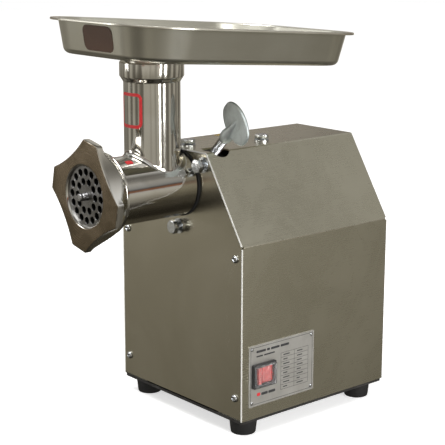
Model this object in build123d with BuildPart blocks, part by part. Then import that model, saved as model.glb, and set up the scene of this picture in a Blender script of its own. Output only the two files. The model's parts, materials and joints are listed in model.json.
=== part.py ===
from build123d import *
import os
from math import acos, cos, degrees, pi, radians, sin, sqrt, tan

os.makedirs("parts", exist_ok=True)

# Origin: on the floor, under the middle of the machine. +Z is up and the front panel faces -Y.

# Cabinet
cabinet_width = 200.0
cabinet_depth = 209.0
front_y = -48.0
back_y = front_y + cabinet_depth
cabinet_bottom = 20.0
shoulder_z = 203.0
cabinet_top = 291.0
top_half_width = 44.0
sheet = 1.5
bend_radius = 2.5
seam = 0.3
flange_width = 17.0
panel_screw_x = 89.5
panel_screw_low_z = 43.5
panel_screw_high_z = 190.0

# Base and feet
base_thickness = 3.0
foot_x = 80.0
foot_inset = 20.0
foot_top_radius = 15.0
foot_bottom_radius = 13.0

# Grinding head, turned about an axis parallel to Y
head_z = 255.0
barrel_radius = 34.5
barrel_bore = 28.0
neck_radius = 25.0
neck_end_y = front_y + 42.0
thread_radius = 37.8
plate_radius = 35.0
plate_front_y = front_y - 116.0
plate_thickness = 9.6
knife_thickness = 8.4
ring_front_y = front_y - 118.8
ring_back_y = front_y - 93.0
lobe_radius = 57.0
ring_turn = -12.0
gasket_thickness = 2.7
running = 0.05

# Feed tube and tray
tube_y = front_y - 34.0
tube_radius = 28.7
tube_bore = 26.8
tube_top = 382.0
collar_radius = 32.5
tray_half_width = 101.0
tray_front = 84.0
tray_back = 219.0
tray_height = 35.0
tray_lip = 7.5
tray_draft = 8.0
tray_corner = 62.0
tray_sheet = 1.2
tray_tilt = 4.2
spigot_radius = 24.8
spigot_length = 16.0

# Fasteners
m8_radius = 4.0
m8_flats = 13.0
m8_head = 5.3
flange_bolt_circle = 46.5
flange_bolt_angles = (30, 150, 270)
top_bolt_places = ((-3.0, front_y + 15.0), (22.0, front_y + 95.0))

# Clamp screw for the head, at 45 degrees between +X and +Z
clamp_y = front_y + 20.0
clamp_hole_radius = 12.5
clamp_shaft_radius = 5.0
clamp_turn = -9.0
wing_half_span = 24.5
wing_middle = 94.0

# Gear train: spindle, compound gear below it, motor shaft below that
middle_z = head_z - 38.0
motor_z = middle_z - 50.0
output_teeth = 26
small_teeth = 12
large_teeth = 64
pinion_teeth = 16
output_module = 2.0
motor_module = 1.25
pressure_angle = radians(20)
addendum = 0.95
dedendum = 1.2
output_gear_front = front_y + 66.0
output_gear_width = 18.0
large_gear_front = front_y + 101.0
large_gear_width = 10.0
case_wall = 5.0
case_back_y = front_y + 114.0
cover_thickness = 6.0
cover_back_y = case_back_y + cover_thickness

# Motor
motor_radius = 60.0
motor_back_y = front_y + 191.5
end_shield_thickness = 4.0
stator_front_y = front_y + 136.0
stator_back_y = front_y + 178.0
stator_bore = 34.0
rotor_radius = 33.5
motor_shaft_radius = 7.5

# Switch and nameplate, on the +X side
plate_low_y = front_y + 9.0
plate_high_y = front_y + 100.5
plate_low_z = 33.4
plate_high_z = 99.0
nameplate_sheet = 0.8
switch_y = front_y + 28.6
switch_z = 66.0
bezel_length = 31.7
bezel_height = 26.0
switch_length = 27.4
switch_height = 21.6
bezel_depth = 3.4
side_x = cabinet_width / 2

# Cable gland, low on the back panel
gland_x = -55.0
gland_z = 48.0
gland_thread = 8.0
gland_bore = 4.0


def facing_front(y, x=0.0, z=0.0):
    """Plane whose sketch reads as seen from the front; extruding goes towards -Y."""
    return Plane(origin=(x, y, z), x_dir=(1, 0, 0), z_dir=(0, -1, 0))


def facing_right(x, y=0.0, z=0.0):
    """Plane seen from the +X side; extruding goes towards +X."""
    return Plane(origin=(x, y, z), x_dir=(0, 1, 0), z_dir=(1, 0, 0))


def turned(points, axis_z=head_z):
    """A body turned about an axis parallel to Y, from (y, radius) points."""
    with BuildPart() as body:
        with BuildSketch(Plane.YZ):
            with BuildLine():
                Polyline(*[(y, axis_z + r) for y, r in points], close=True)
            make_face()
        revolve(axis=Axis((0, 0, axis_z), (0, 1, 0)))
    return body.part


def tube_between(y_front, y_back, outer, inner, axis_z=head_z):
    return turned([(y_front, inner), (y_back, inner), (y_back, outer), (y_front, outer)], axis_z)


def hex_bolt(flats, head, shank_radius, shank_length):
    """Bolt with its head on +Z and the underside of the head at z = 0."""
    corner_radius = flats / sqrt(3)
    with BuildPart() as bolt:
        with BuildSketch(Plane.XY):
            RegularPolygon(radius=corner_radius, side_count=6)
        extrude(amount=head)
        with BuildSketch(Plane.XZ):
            with BuildLine():
                Polyline(
                    (0, -1), (corner_radius + 1, -1), (corner_radius + 1, head - 1.2),
                    (flats / 2 - 0.4, head + 0.2), (0, head + 0.2), close=True,
                )
            make_face()
        revolve(axis=Axis.Z, mode=Mode.INTERSECT)
        with BuildSketch(Plane.XY):
            Circle(shank_radius)
        extrude(amount=-shank_length)
        chamfer(bolt.edges().filter_by(GeomType.CIRCLE).sort_by(Axis.Z)[0], 0.6)
    return bolt.part


def pan_screw(head_radius, head_height, shank_radius, shank_length):
    """Cross-recess screw with a domed head on +Z; the head sits on z = 0."""
    crown = head_radius * 0.6
    with BuildPart() as screw:
        with BuildSketch(Plane.XZ):
            with BuildLine():
                Line((crown, head_height), (0, head_height))
                Line((0, head_height), (0, -shank_length))
                Line((0, -shank_length), (shank_radius, -shank_length))
                Line((shank_radius, -shank_length), (shank_radius, 0))
                Line((shank_radius, 0), (head_radius, 0))
                Line((head_radius, 0), (head_radius, head_height * 0.4))
                ThreePointArc(
                    (head_radius, head_height * 0.4),
                    (head_radius * 0.84, head_height * 0.78),
                    (crown, head_height),
                )
            make_face()
        revolve(axis=Axis.Z)
        with BuildSketch(Plane.XY.offset(head_height)):
            Rectangle(head_radius * 1.05, head_radius * 0.24)
            Rectangle(head_radius * 0.24, head_radius * 1.05)
        extrude(amount=-head_height * 0.55, mode=Mode.SUBTRACT)
    return screw.part


def washer(outer, inner, thickness):
    with BuildPart() as ring:
        with BuildSketch(Plane.XY):
            Circle(outer)
            Circle(inner, mode=Mode.SUBTRACT)
        extrude(amount=thickness)
    return ring.part


def involute_flank(module, teeth, thinning, steps=5):
    """Right-hand flank points of one tooth centred on +Y, root to tip, as (radius, angle)."""
    pitch_radius = module * teeth / 2
    base_radius = pitch_radius * cos(pressure_angle)
    root_radius = pitch_radius - dedendum * module
    tip_radius = pitch_radius + addendum * module
    involute_at_pitch = tan(pressure_angle) - pressure_angle
    half_tooth = pi / (2 * teeth) - thinning / pitch_radius
    start = max(base_radius, root_radius)
    flank = [(root_radius, half_tooth + involute_at_pitch)] if root_radius < start - 0.01 else []
    for step in range(steps + 1):
        radius = start + (tip_radius - start) * step / steps
        pressure = acos(min(1.0, base_radius / radius))
        flank.append((radius, half_tooth + involute_at_pitch - (tan(pressure) - pressure)))
    return flank


def gear_outline(module, teeth, first_angle, thinning=0.06):
    """Closed list of points round a spur gear whose first tooth points at first_angle degrees."""
    points = []
    flank = involute_flank(module, teeth, thinning)
    for tooth in range(teeth):
        centre = radians(first_angle) + 2 * pi * tooth / teeth
        side_one = [(r, centre - a) for r, a in flank]
        side_two = [(r, centre + a) for r, a in reversed(flank)]
        points += [(r * cos(a), r * sin(a)) for r, a in side_one + side_two]
    return points


def gear(module, teeth, first_angle, y_front, width, axis_z):
    with BuildPart() as wheel:
        with BuildSketch(facing_front(y_front + width, z=axis_z)):
            with BuildLine():
                Polyline(*gear_outline(module, teeth, first_angle), close=True)
            make_face()
        extrude(amount=width)
    return wheel.part


def cabinet_points():
    half = cabinet_width / 2
    return [
        (-half, cabinet_bottom), (-half, shoulder_z), (-top_half_width, cabinet_top),
        (top_half_width, cabinet_top), (half, shoulder_z), (half, cabinet_bottom),
    ]


def cabinet_section(inset):
    """Closed cross-section of the cabinet, drawn in by inset all round."""
    with BuildSketch() as section:
        Polygon(*cabinet_points(), align=None)
        offset(amount=-inset, kind=Kind.INTERSECTION)
    return section.sketch


def export(part, name):
    part.label = name
    export_step(part, f"parts/{name}.step")


def group(solids):
    return Compound(children=list(solids))


# Panels

clamp_direction = Vector(1, 0, 1).normalized()
clamp_centre = Vector(0, clamp_y, head_z)


def clamp_plane(along):
    """Plane across the clamp screw's axis, at a distance from the head's axis."""
    return Plane(origin=clamp_centre + clamp_direction * along, x_dir=(0, 1, 0), z_dir=clamp_direction)


wrap_flange_depth = sheet + seam
with BuildPart() as housing_wrap:
    with BuildSketch(facing_front(back_y)):
        with BuildLine():
            fold = FilletPolyline(*cabinet_points(), radius=bend_radius)
            offset(fold, amount=sheet, side=Side.RIGHT, closed=True)
        make_face()
    extrude(amount=cabinet_depth)
    for side in (-1, 1):
        for y in (front_y + wrap_flange_depth + sheet, back_y - wrap_flange_depth):
            flange_x = side * (side_x - sheet / 2 - flange_width / 2)
            with BuildSketch(facing_front(y, flange_x, (cabinet_bottom + shoulder_z) / 2)):
                Rectangle(flange_width, shoulder_z - cabinet_bottom - 6)
            extrude(amount=sheet)
        with BuildSketch(Plane.XY.offset(cabinet_bottom)):
            with Locations((side * (side_x - sheet / 2 - 19), (front_y + back_y) / 2)):
                Rectangle(38, cabinet_depth - 2 * wrap_flange_depth)
        extrude(amount=sheet)
        for y in (front_y, back_y):
            with Locations((side * side_x, y, shoulder_z)):
                Box(4.2, 4.2, 2.6, mode=Mode.SUBTRACT)
    for x in (-foot_x, foot_x):
        for y in (front_y + foot_inset, back_y - foot_inset):
            with Locations((x, y, cabinet_bottom)):
                Cylinder(3.2, 3 * sheet, mode=Mode.SUBTRACT)
    for x in (-panel_screw_x, panel_screw_x):
        for z in (panel_screw_low_z, panel_screw_high_z):
            with Locations(facing_front(front_y, x, z), facing_front(back_y, x, z)):
                Cylinder(2.0, 12, mode=Mode.SUBTRACT)
    with BuildSketch(clamp_plane(40)):
        Circle(clamp_hole_radius)
    extrude(amount=30, mode=Mode.SUBTRACT)
    for x, y in top_bolt_places:
        with Locations((x, y, cabinet_top)):
            Cylinder(m8_radius + 0.4, 10, mode=Mode.SUBTRACT)
    with BuildSketch(facing_right(side_x - 5, switch_y, switch_z)):
        Rectangle(switch_length + 0.6, switch_height + 0.6)
    extrude(amount=10, mode=Mode.SUBTRACT)
export(housing_wrap.part, "housing_wrap")

with BuildPart() as front_panel:
    with BuildSketch(facing_front(front_y + sheet)):
        add(cabinet_section(sheet + seam))
        with Locations((0, head_z)):
            Circle(neck_radius + 2, mode=Mode.SUBTRACT)
            with PolarLocations(flange_bolt_circle, 3, start_angle=flange_bolt_angles[0]):
                Circle(m8_radius + 0.4, mode=Mode.SUBTRACT)
        for z in (panel_screw_low_z, panel_screw_high_z):
            with Locations((-panel_screw_x, z), (panel_screw_x, z)):
                Circle(2.2, mode=Mode.SUBTRACT)
    extrude(amount=sheet)
export(front_panel.part, "front_panel")

vent_rows = 6
vent_pitch = 9.0
with BuildPart() as back_panel:
    with BuildSketch(facing_front(back_y)):
        add(cabinet_section(sheet + seam))
        for z in (panel_screw_low_z, panel_screw_high_z):
            with Locations((-panel_screw_x, z), (panel_screw_x, z)):
                Circle(2.2, mode=Mode.SUBTRACT)
        with Locations((0, motor_z)):
            with GridLocations(48, vent_pitch, 2, vent_rows):
                SlotOverall(40, 3.5, mode=Mode.SUBTRACT)
        with Locations((gland_x, gland_z)):
            Circle(gland_thread + 0.2, mode=Mode.SUBTRACT)
    extrude(amount=sheet)
export(back_panel.part, "back_panel")

foot_places = [(x, y) for x in (-foot_x, foot_x) for y in (front_y + foot_inset, back_y - foot_inset)]
base_z = cabinet_bottom - base_thickness
cradle_screw_places = [(x, y) for x in (-44, 44) for y in (stator_front_y + 8, stator_back_y - 8)]
with BuildPart() as base_plate:
    with BuildSketch(Plane.XY.offset(base_z)):
        with Locations((0, (front_y + back_y) / 2)):
            RectangleRounded(cabinet_width - 1, cabinet_depth - 1, 3)
            with GridLocations(18, 70, 5, 1):
                SlotOverall(60, 5, rotation=90, mode=Mode.SUBTRACT)
        with Locations(*foot_places):
            Circle(3.2, mode=Mode.SUBTRACT)
        with Locations(*cradle_screw_places):
            Circle(2.2, mode=Mode.SUBTRACT)
    extrude(amount=base_thickness)
export(base_plate.part, "base_plate")

with BuildPart() as foot:
    with BuildSketch(Plane.XZ):
        with BuildLine():
            Polyline(
                (3.2, 6), (8, 6), (8, 0), (foot_bottom_radius, 0),
                (foot_top_radius, base_z), (3.2, base_z), close=True,
            )
        make_face()
    revolve(axis=Axis.Z)
    fillet(foot.edges().filter_by(GeomType.CIRCLE).group_by(Axis.Z)[0].sort_by(SortBy.RADIUS)[-1], 1.2)
foot_screw = pan_screw(5.5, 3.4, 3.0, base_z - 6 + base_thickness + sheet + 6)
foot_nut_z = cabinet_bottom + sheet
with BuildPart() as foot_nut:
    with BuildSketch(Plane.XY):
        RegularPolygon(radius=5.8, side_count=6)
        Circle(3.0, mode=Mode.SUBTRACT)
    extrude(amount=4.5)
feet = group([Pos(x, y, 0) * foot.part for x, y in foot_places])
export(feet, "feet")
foot_screws = group([Pos(x, y, 6) * Rot(180, 0, 0) * foot_screw for x, y in foot_places])
export(foot_screws, "foot_screws")
foot_nuts = group([Pos(x, y, foot_nut_z) * foot_nut.part for x, y in foot_places])
export(foot_nuts, "foot_nuts")

panel_screw = pan_screw(4.0, 2.6, 2.0, 9.0)
panel_screw_places = [
    (x, z) for x in (-panel_screw_x, panel_screw_x) for z in (panel_screw_low_z, panel_screw_high_z)
]
front_screws = group(
    [Pos(x, front_y, z) * Rot(90, 0, 0) * panel_screw for x, z in panel_screw_places]
)
export(front_screws, "front_panel_screws")
back_screws = group(
    [Pos(x, back_y, z) * Rot(-90, 0, 0) * panel_screw for x, z in panel_screw_places]
)
export(back_screws, "back_panel_screws")

# Grinding head

barrel_front_y = front_y - 111.0
pocket_back_y = front_y - 96.6
shoulder_y = front_y - gasket_thickness - seam
bore_back_y = front_y - 10.0
bush_radius = 15.0
journal_radius = 12.0
barrel_outer = turned(
    [
        (barrel_front_y, 0), (barrel_front_y, thread_radius - 1), (barrel_front_y + 1, thread_radius),
        (front_y - 93, thread_radius), (front_y - 89, barrel_radius), (shoulder_y - 1, barrel_radius),
        (shoulder_y, barrel_radius - 1), (shoulder_y, neck_radius),
        (neck_end_y - 1, neck_radius), (neck_end_y, neck_radius - 1), (neck_end_y, 0),
    ]
)
barrel_inner = turned(
    [
        (barrel_front_y - 1, 0), (barrel_front_y - 1, plate_radius + 0.15),
        (pocket_back_y, plate_radius + 0.15), (pocket_back_y, barrel_bore), (bore_back_y, barrel_bore),
        (bore_back_y, bush_radius), (neck_end_y + 1, bush_radius), (neck_end_y + 1, 0),
    ]
)
pin_radius = 2.5
pin_z = head_z - plate_radius - 0.6
with BuildPart() as head_body:
    add(barrel_outer)
    with BuildSketch(Plane.XY.offset(head_z)):
        with Locations((0, tube_y)):
            Circle(tube_radius)
    extrude(amount=tube_top - head_z)
    blend_edges = [
        edge for edge in head_body.edges()
        if head_z + 5 < edge.center().Z < head_z + barrel_radius + 2
        and abs(edge.center().Y - tube_y) < tube_radius
        and edge.geom_type not in (GeomType.LINE, GeomType.CIRCLE)
    ]
    fillet(blend_edges, 6)
    with BuildSketch(Plane.XZ.offset(-tube_y)):
        with BuildLine():
            Polyline(
                (tube_radius - 1, tube_top), (collar_radius - 0.8, tube_top),
                (collar_radius, tube_top - 0.8), (collar_radius, tube_top - 14),
                (tube_radius, tube_top - 20), (tube_radius - 1, tube_top - 20), close=True,
            )
        make_face()
    revolve(axis=Axis((0, tube_y, 0), (0, 0, 1)))
    add(barrel_inner, mode=Mode.SUBTRACT)
    with BuildSketch(Plane.XY.offset(head_z)):
        with Locations((0, tube_y)):
            Circle(tube_bore)
    extrude(amount=tube_top - head_z, mode=Mode.SUBTRACT)
    with BuildSketch(facing_front(pocket_back_y + 4, z=pin_z)):
        Circle(pin_radius)
    extrude(amount=30, mode=Mode.SUBTRACT)
export(head_body.part, "head_body")

with BuildPart() as plate_pin:
    with BuildSketch(facing_front(pocket_back_y + 4, z=pin_z)):
        Circle(pin_radius)
    extrude(amount=18)
export(plate_pin.part, "plate_pin")

export(tube_between(bore_back_y, neck_end_y - 2, bush_radius, journal_radius + running), "neck_bush")

hole_rows = ((24.2, 16, 3.2), (14.8, 10, 3.2))
stud_radius = 4.0
plate_back_y = plate_front_y + plate_thickness
with BuildPart() as plate:
    with BuildSketch(facing_front(plate_back_y, z=head_z)):
        Circle(plate_radius)
        Circle(stud_radius + 0.08, mode=Mode.SUBTRACT)
        for row_radius, count, hole_radius in hole_rows:
            with PolarLocations(row_radius, count):
                Circle(hole_radius, mode=Mode.SUBTRACT)
        with Locations((0, pin_z - head_z)):
            Circle(pin_radius + 0.3, mode=Mode.SUBTRACT)
    extrude(amount=plate_thickness)
    chamfer(plate.faces().sort_by(Axis.Y)[0].outer_wire().edges().filter_by(GeomType.CIRCLE), 0.6)
export(plate.part, "plate")

knife_square = 12.0
knife_back_y = plate_back_y + 0.3 + knife_thickness
with BuildPart() as knife:
    with BuildSketch(facing_front(knife_back_y, z=head_z)):
        Circle(13.5)
        with PolarLocations(0, 4, start_angle=8):
            with Locations((0, 0)):
                Polygon((5, -6.5), (31, -3.0), (32, 0.5), (30, 4.0), (5, 7), align=None)
        Rectangle(knife_square + 0.2, knife_square + 0.2, mode=Mode.SUBTRACT)
    extrude(amount=knife_thickness)
    with BuildSketch(facing_front(knife_back_y + 1, z=head_z)):
        Circle(40)
        Circle(16, mode=Mode.SUBTRACT)
    extrude(amount=3.5, mode=Mode.SUBTRACT)
export(knife.part, "knife")

auger_front_y = knife_back_y + 0.3
pin_tip_y = front_y - 125.0
with BuildPart() as auger_pin:
    with BuildSketch(facing_front(auger_front_y, z=head_z)):
        Rectangle(knife_square, knife_square)
    extrude(amount=auger_front_y - plate_back_y - 0.3)
    with BuildSketch(facing_front(auger_front_y + 16, z=head_z)):
        Circle(stud_radius)
    extrude(amount=auger_front_y + 16 - pin_tip_y)
    chamfer(auger_pin.faces().sort_by(Axis.Y)[0].edges(), 0.8)
    groove_y = pin_tip_y + 4.0
    add(tube_between(groove_y - 0.8, groove_y + 0.8, stud_radius + 1, stud_radius - 1), mode=Mode.SUBTRACT)
export(auger_pin.part, "auger_pin")

core_radius = 12.0
flight_root = 10.0
flight_radius = 27.2
flight_root_width = 7.2
flight_edge_width = 4.4
flight_pitch = 34.0
flight_front_y = auger_front_y + 4.0
flight_back_y = bore_back_y - 15.0
core = turned(
    [
        (auger_front_y, 0), (auger_front_y, core_radius), (bore_back_y - 14, core_radius),
        (bore_back_y - 6, 18), (bore_back_y - 5.3, 25), (bore_back_y - 0.3, 25),
        (bore_back_y - 0.3, journal_radius), (neck_end_y + 0.4, journal_radius), (neck_end_y + 0.4, 0),
    ]
)
tang_side = 13.4
tang_end_y = front_y + 59.0
with BuildPart() as flight:
    with BuildLine():
        Helix(flight_pitch, flight_back_y - flight_front_y, (flight_root + flight_radius) / 2)
    with BuildSketch(Plane.XZ):
        Polygon(
            (flight_root, -flight_root_width / 2), (flight_radius, -flight_edge_width / 2),
            (flight_radius, flight_edge_width / 2), (flight_root, flight_root_width / 2), align=None,
        )
    sweep(is_frenet=True)
with BuildPart() as auger:
    add(core)
    add(Pos(0, flight_front_y, head_z) * Rot(-90, 0, 0) * flight.part)
    with BuildSketch(facing_front(tang_end_y, z=head_z)):
        RectangleRounded(tang_side, tang_side, 1)
    extrude(amount=tang_end_y - neck_end_y)
    with BuildSketch(facing_front(auger_front_y + 16, z=head_z)):
        Circle(stud_radius)
    extrude(amount=20, mode=Mode.SUBTRACT)
export(auger.part, "auger")

# Ring nut: a four-lobed star trimmed by a turned form
waist_radius = 44.0
tip_half_angle = 11.5
corner_angle = radians(45 - tip_half_angle)
valley_centre = (lobe_radius**2 - waist_radius**2) / (2 * (lobe_radius * cos(corner_angle) - waist_radius))
valley_radius = valley_centre - waist_radius
tip_flat = 55.9
with BuildPart() as ring_nut:
    with BuildSketch(facing_front(ring_back_y, z=head_z)):
        Rectangle(2 * tip_flat, 2 * tip_flat, rotation=ring_turn)
        with PolarLocations(valley_centre, 4, start_angle=45 + ring_turn):
            Circle(valley_radius, mode=Mode.SUBTRACT)
    extrude(amount=ring_back_y - ring_front_y)
    add(
        turned(
            [
                (ring_front_y, 0), (ring_front_y, lobe_radius - 1.5), (ring_front_y + 1.2, lobe_radius),
                (ring_front_y + 6.6, lobe_radius), (ring_front_y + 7.2, 49),
                (ring_back_y - 3, 41.5), (ring_back_y - 2.2, 40.5), (ring_back_y, 40.5), (ring_back_y, 0),
            ]
        ),
        mode=Mode.INTERSECT,
    )
    add(
        turned(
            [
                (ring_front_y - 1, 0), (ring_front_y - 1, 32.5), (ring_front_y, 32),
                (ring_front_y + 1.5, 30.2), (plate_front_y - 0.3, 30.2),
                (plate_front_y - 0.3, thread_radius + 0.3), (ring_back_y + 1, thread_radius + 0.3),
                (ring_back_y + 1, 0),
            ]
        ),
        mode=Mode.SUBTRACT,
    )
export(ring_nut.part, "ring_nut")

export(tube_between(shoulder_y + seam, front_y, barrel_radius + 1.5, neck_radius + 1.2), "gasket_ring")

# Bolts that hold the gearbox to the front and top panels
m8_washer = washer(8.0, m8_radius + 0.2, 1.6)
bolt_stand_off = 4.0
flange_bolt = hex_bolt(m8_flats, m8_head, m8_radius, 20)
flange_places = [
    (flange_bolt_circle * cos(radians(a)), head_z + flange_bolt_circle * sin(radians(a)))
    for a in flange_bolt_angles
]
flange_bolts = group(
    [Pos(x, front_y - 1.6 - bolt_stand_off, z) * Rot(90, 0, 0) * flange_bolt for x, z in flange_places]
)
export(flange_bolts, "flange_bolts")
flange_washers = group([Pos(x, front_y, z) * Rot(90, 0, 0) * m8_washer for x, z in flange_places])
export(flange_washers, "flange_washers")
top_bolt = hex_bolt(m8_flats, m8_head, m8_radius, 10)
top_bolts = group([Pos(x, y, cabinet_top + 1.6) * top_bolt for x, y in top_bolt_places])
export(top_bolts, "top_bolts")
top_washers = group([Pos(x, y, cabinet_top) * m8_washer for x, y in top_bolt_places])
export(top_washers, "top_washers")

# Clamp screw with a leaf-shaped wing
clamp_boss_end = 40.0
clamp_boss_radius = 7.5
wing_tip = clamp_centre + clamp_direction * wing_middle
wing_plane = Plane(origin=wing_tip, x_dir=clamp_direction, z_dir=(0, -1, 0)).rotated((clamp_turn, 0, 0))
wing_thickness = 4.0
with BuildPart() as wing_screw:
    with BuildSketch(wing_plane.offset(-wing_thickness / 2)):
        Circle(14)
        with Locations((-1, wing_half_span - 8), (1, 8 - wing_half_span)):
            Circle(8)
        make_hull()
    extrude(amount=wing_thickness)
    fillet(wing_screw.faces().sort_by(SortBy.AREA)[-2:].edges(), 1.2)
    with BuildSketch(clamp_plane(wing_middle - 24.5)):
        Circle(7)
    extrude(amount=8)
    with BuildSketch(clamp_plane(wing_middle - 16.5)):
        Circle(7)
    extrude(amount=22, taper=14)
    with BuildSketch(clamp_plane(neck_radius + 0.6)):
        Circle(clamp_shaft_radius)
    extrude(amount=wing_middle - neck_radius - 15)
export(wing_screw.part, "wing_screw")

# Tray, leaning back a little on the collar of the feed tube

tilt = radians(tray_tilt)
tray_floor_z = tube_top + seam + collar_radius * tan(tilt)
tray_plane = Plane(
    origin=(0, tube_y, tray_floor_z), x_dir=(1, 0, 0), z_dir=(0, sin(tilt), cos(tilt))
)
tray_middle = (tray_back - tray_front) / 2
tray_length = tray_back + tray_front
wall_inset = tray_lip + tray_draft
draft_angle = degrees(acos(tray_height / sqrt(tray_height**2 + tray_draft**2)))


def pan_block(inset, fillet_radius):
    """Solid block with the tray's drafted sides, drawn in by inset on the floor and walls."""
    with BuildPart() as block:
        with BuildSketch(tray_plane.offset(inset)):
            with Locations((0, tray_middle)):
                RectangleRounded(
                    2 * (tray_half_width - wall_inset - inset),
                    tray_length - 2 * (wall_inset + inset),
                    tray_corner - wall_inset - inset,
                )
        extrude(amount=tray_height, taper=-draft_angle)
        fillet(block.faces().filter_by(tray_plane).sort_by(Axis.Z)[0].edges(), fillet_radius)
    return block.part


with BuildPart() as tray:
    add(pan_block(0, 7))
    add(pan_block(tray_sheet, 7 - tray_sheet), mode=Mode.SUBTRACT)
    with BuildSketch(tray_plane.offset(tray_height)):
        with Locations((0, tray_middle)):
            RectangleRounded(2 * tray_half_width, tray_length, tray_corner)
            RectangleRounded(
                2 * (tray_half_width - tray_lip - tray_sheet),
                tray_length - 2 * (tray_lip + tray_sheet),
                tray_corner - tray_lip - tray_sheet,
                mode=Mode.SUBTRACT,
            )
    extrude(amount=-tray_sheet)
    with BuildSketch(tray_plane.offset(tray_height - tray_sheet)):
        with Locations((0, tray_middle)):
            RectangleRounded(2 * tray_half_width, tray_length, tray_corner)
            RectangleRounded(
                2 * (tray_half_width - tray_sheet), tray_length - 2 * tray_sheet,
                tray_corner - tray_sheet, mode=Mode.SUBTRACT,
            )
    extrude(amount=-2.4)
    with BuildSketch(tray_plane.offset(tray_sheet)):
        Circle(spigot_radius)
    extrude(amount=-spigot_length - tray_sheet)
    with BuildSketch(tray_plane.offset(tray_sheet + 1)):
        Circle(spigot_radius - tray_sheet)
    extrude(amount=-spigot_length - tray_sheet - 2, mode=Mode.SUBTRACT)
export(tray.part, "tray")

# Gearbox

socket_radius = 33.0
flange_front_y = front_y + sheet + seam
flange_back_y = flange_front_y + 9.0
case_front_y = front_y + 50.0
seal_front_y = front_y + 43.2
bearing_front_y = front_y + 50.2
bearing_back_y = front_y + 65.2
front_bearing_radius = 26.0
carrier_front_y = front_y + 86.0
carrier_back_y = front_y + 98.0
rear_bearing_radius = 21.0
middle_shaft_radius = 7.5
middle_bush_radius = 10.5


def case_section(wall_inset):
    with BuildSketch() as section:
        with Locations((0, head_z)):
            Circle(socket_radius - wall_inset)
        with Locations((0, middle_z)):
            Circle(47 - wall_inset)
        with Locations((0, motor_z)):
            Circle(24 - wall_inset)
        make_hull()
    return section.sketch


middle_bush_front_y = case_front_y + 1.0
middle_bush_back_y = case_front_y + 13.0
cover_screw_places = [(-44, middle_z + 18), (44, middle_z + 18), (-37, middle_z - 30), (37, middle_z - 30)]
with BuildPart() as gearbox_case:
    with BuildSketch(facing_front(flange_back_y)):
        add(cabinet_section(sheet + 2.5))
        with Locations((0, head_z)):
            Circle(57, mode=Mode.INTERSECT)
    extrude(amount=flange_back_y - flange_front_y)
    with BuildSketch(facing_front(case_front_y + 16, z=head_z)):
        Circle(socket_radius)
    extrude(amount=case_front_y + 16 - flange_front_y)
    with BuildSketch(facing_front(case_back_y)):
        add(case_section(0))
    extrude(amount=case_back_y - case_front_y)
    with BuildSketch(facing_front(case_back_y)):
        add(case_section(case_wall))
    extrude(amount=case_back_y - case_front_y - case_wall - 11, mode=Mode.SUBTRACT)
    with BuildSketch(clamp_plane(socket_radius - 4)):
        Circle(clamp_boss_radius)
    extrude(amount=clamp_boss_end - socket_radius + 4)
    add(tube_between(flange_front_y - 1, front_y + 43.2, neck_radius + running, 0), mode=Mode.SUBTRACT)
    add(tube_between(front_y + 43.1, case_front_y + 17, front_bearing_radius, 0), mode=Mode.SUBTRACT)
    with BuildSketch(clamp_plane(neck_radius - 5)):
        Circle(clamp_shaft_radius + running)
    extrude(amount=clamp_boss_end, mode=Mode.SUBTRACT)
    with BuildSketch(facing_front(case_front_y + 20, z=middle_z)):
        Circle(middle_bush_radius)
    extrude(amount=20 - 1.0, mode=Mode.SUBTRACT)
    with BuildSketch(facing_front(flange_back_y + 1)):
        with Locations(*flange_places):
            Circle(m8_radius)
    extrude(amount=14, mode=Mode.SUBTRACT)
    for x, y in top_bolt_places:
        with Locations((x, y, cabinet_top - 6)):
            Cylinder(m8_radius, 16, mode=Mode.SUBTRACT)
export(gearbox_case.part, "gearbox_case")

export(tube_between(seal_front_y, bearing_front_y, front_bearing_radius, 15 + running), "shaft_seal")


def bearing(y_front, y_back, outer, inner, axis_z):
    """Sealed ball bearing, seen as one ring with a recessed face on each side."""
    web = (outer - inner) * 0.24
    return turned(
        [
            (y_front, inner), (y_front, inner + web), (y_front + 0.8, inner + web),
            (y_front + 0.8, outer - web), (y_front, outer - web), (y_front, outer),
            (y_back, outer), (y_back, outer - web), (y_back - 0.8, outer - web),
            (y_back - 0.8, inner + web), (y_back, inner + web), (y_back, inner),
        ],
        axis_z,
    )


spindle_radius = 12.5
spindle_rear_radius = 10.0
motor_bearing_radius = 17.5
motor_bearing_width = 11.0
motor_front_bearing_y = case_back_y + 1.0
motor_rear_bearing_y = motor_back_y - end_shield_thickness - 0.5
export(
    group(
        [
            bearing(bearing_front_y, bearing_back_y, front_bearing_radius, spindle_radius + running, head_z),
            bearing(carrier_front_y, carrier_back_y, rear_bearing_radius, spindle_rear_radius + running, head_z),
        ]
    ),
    "spindle_bearings",
)
with BuildPart() as bearing_carrier:
    with BuildSketch(facing_front(carrier_back_y)):
        add(case_section(case_wall + 0.02))
        with Locations((0, head_z)):
            Circle(rear_bearing_radius, mode=Mode.SUBTRACT)
        with Locations((0, middle_z)):
            Circle(middle_shaft_radius + 1.5, mode=Mode.SUBTRACT)
        with Locations((0, motor_z - 12)):
            Rectangle(200, 60, mode=Mode.SUBTRACT)
    extrude(amount=carrier_back_y - carrier_front_y)
    for x, y in top_bolt_places:
        with Locations((x, y, cabinet_top - 6)):
            Cylinder(m8_radius, 16, mode=Mode.SUBTRACT)
export(bearing_carrier.part, "bearing_carrier")

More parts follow.
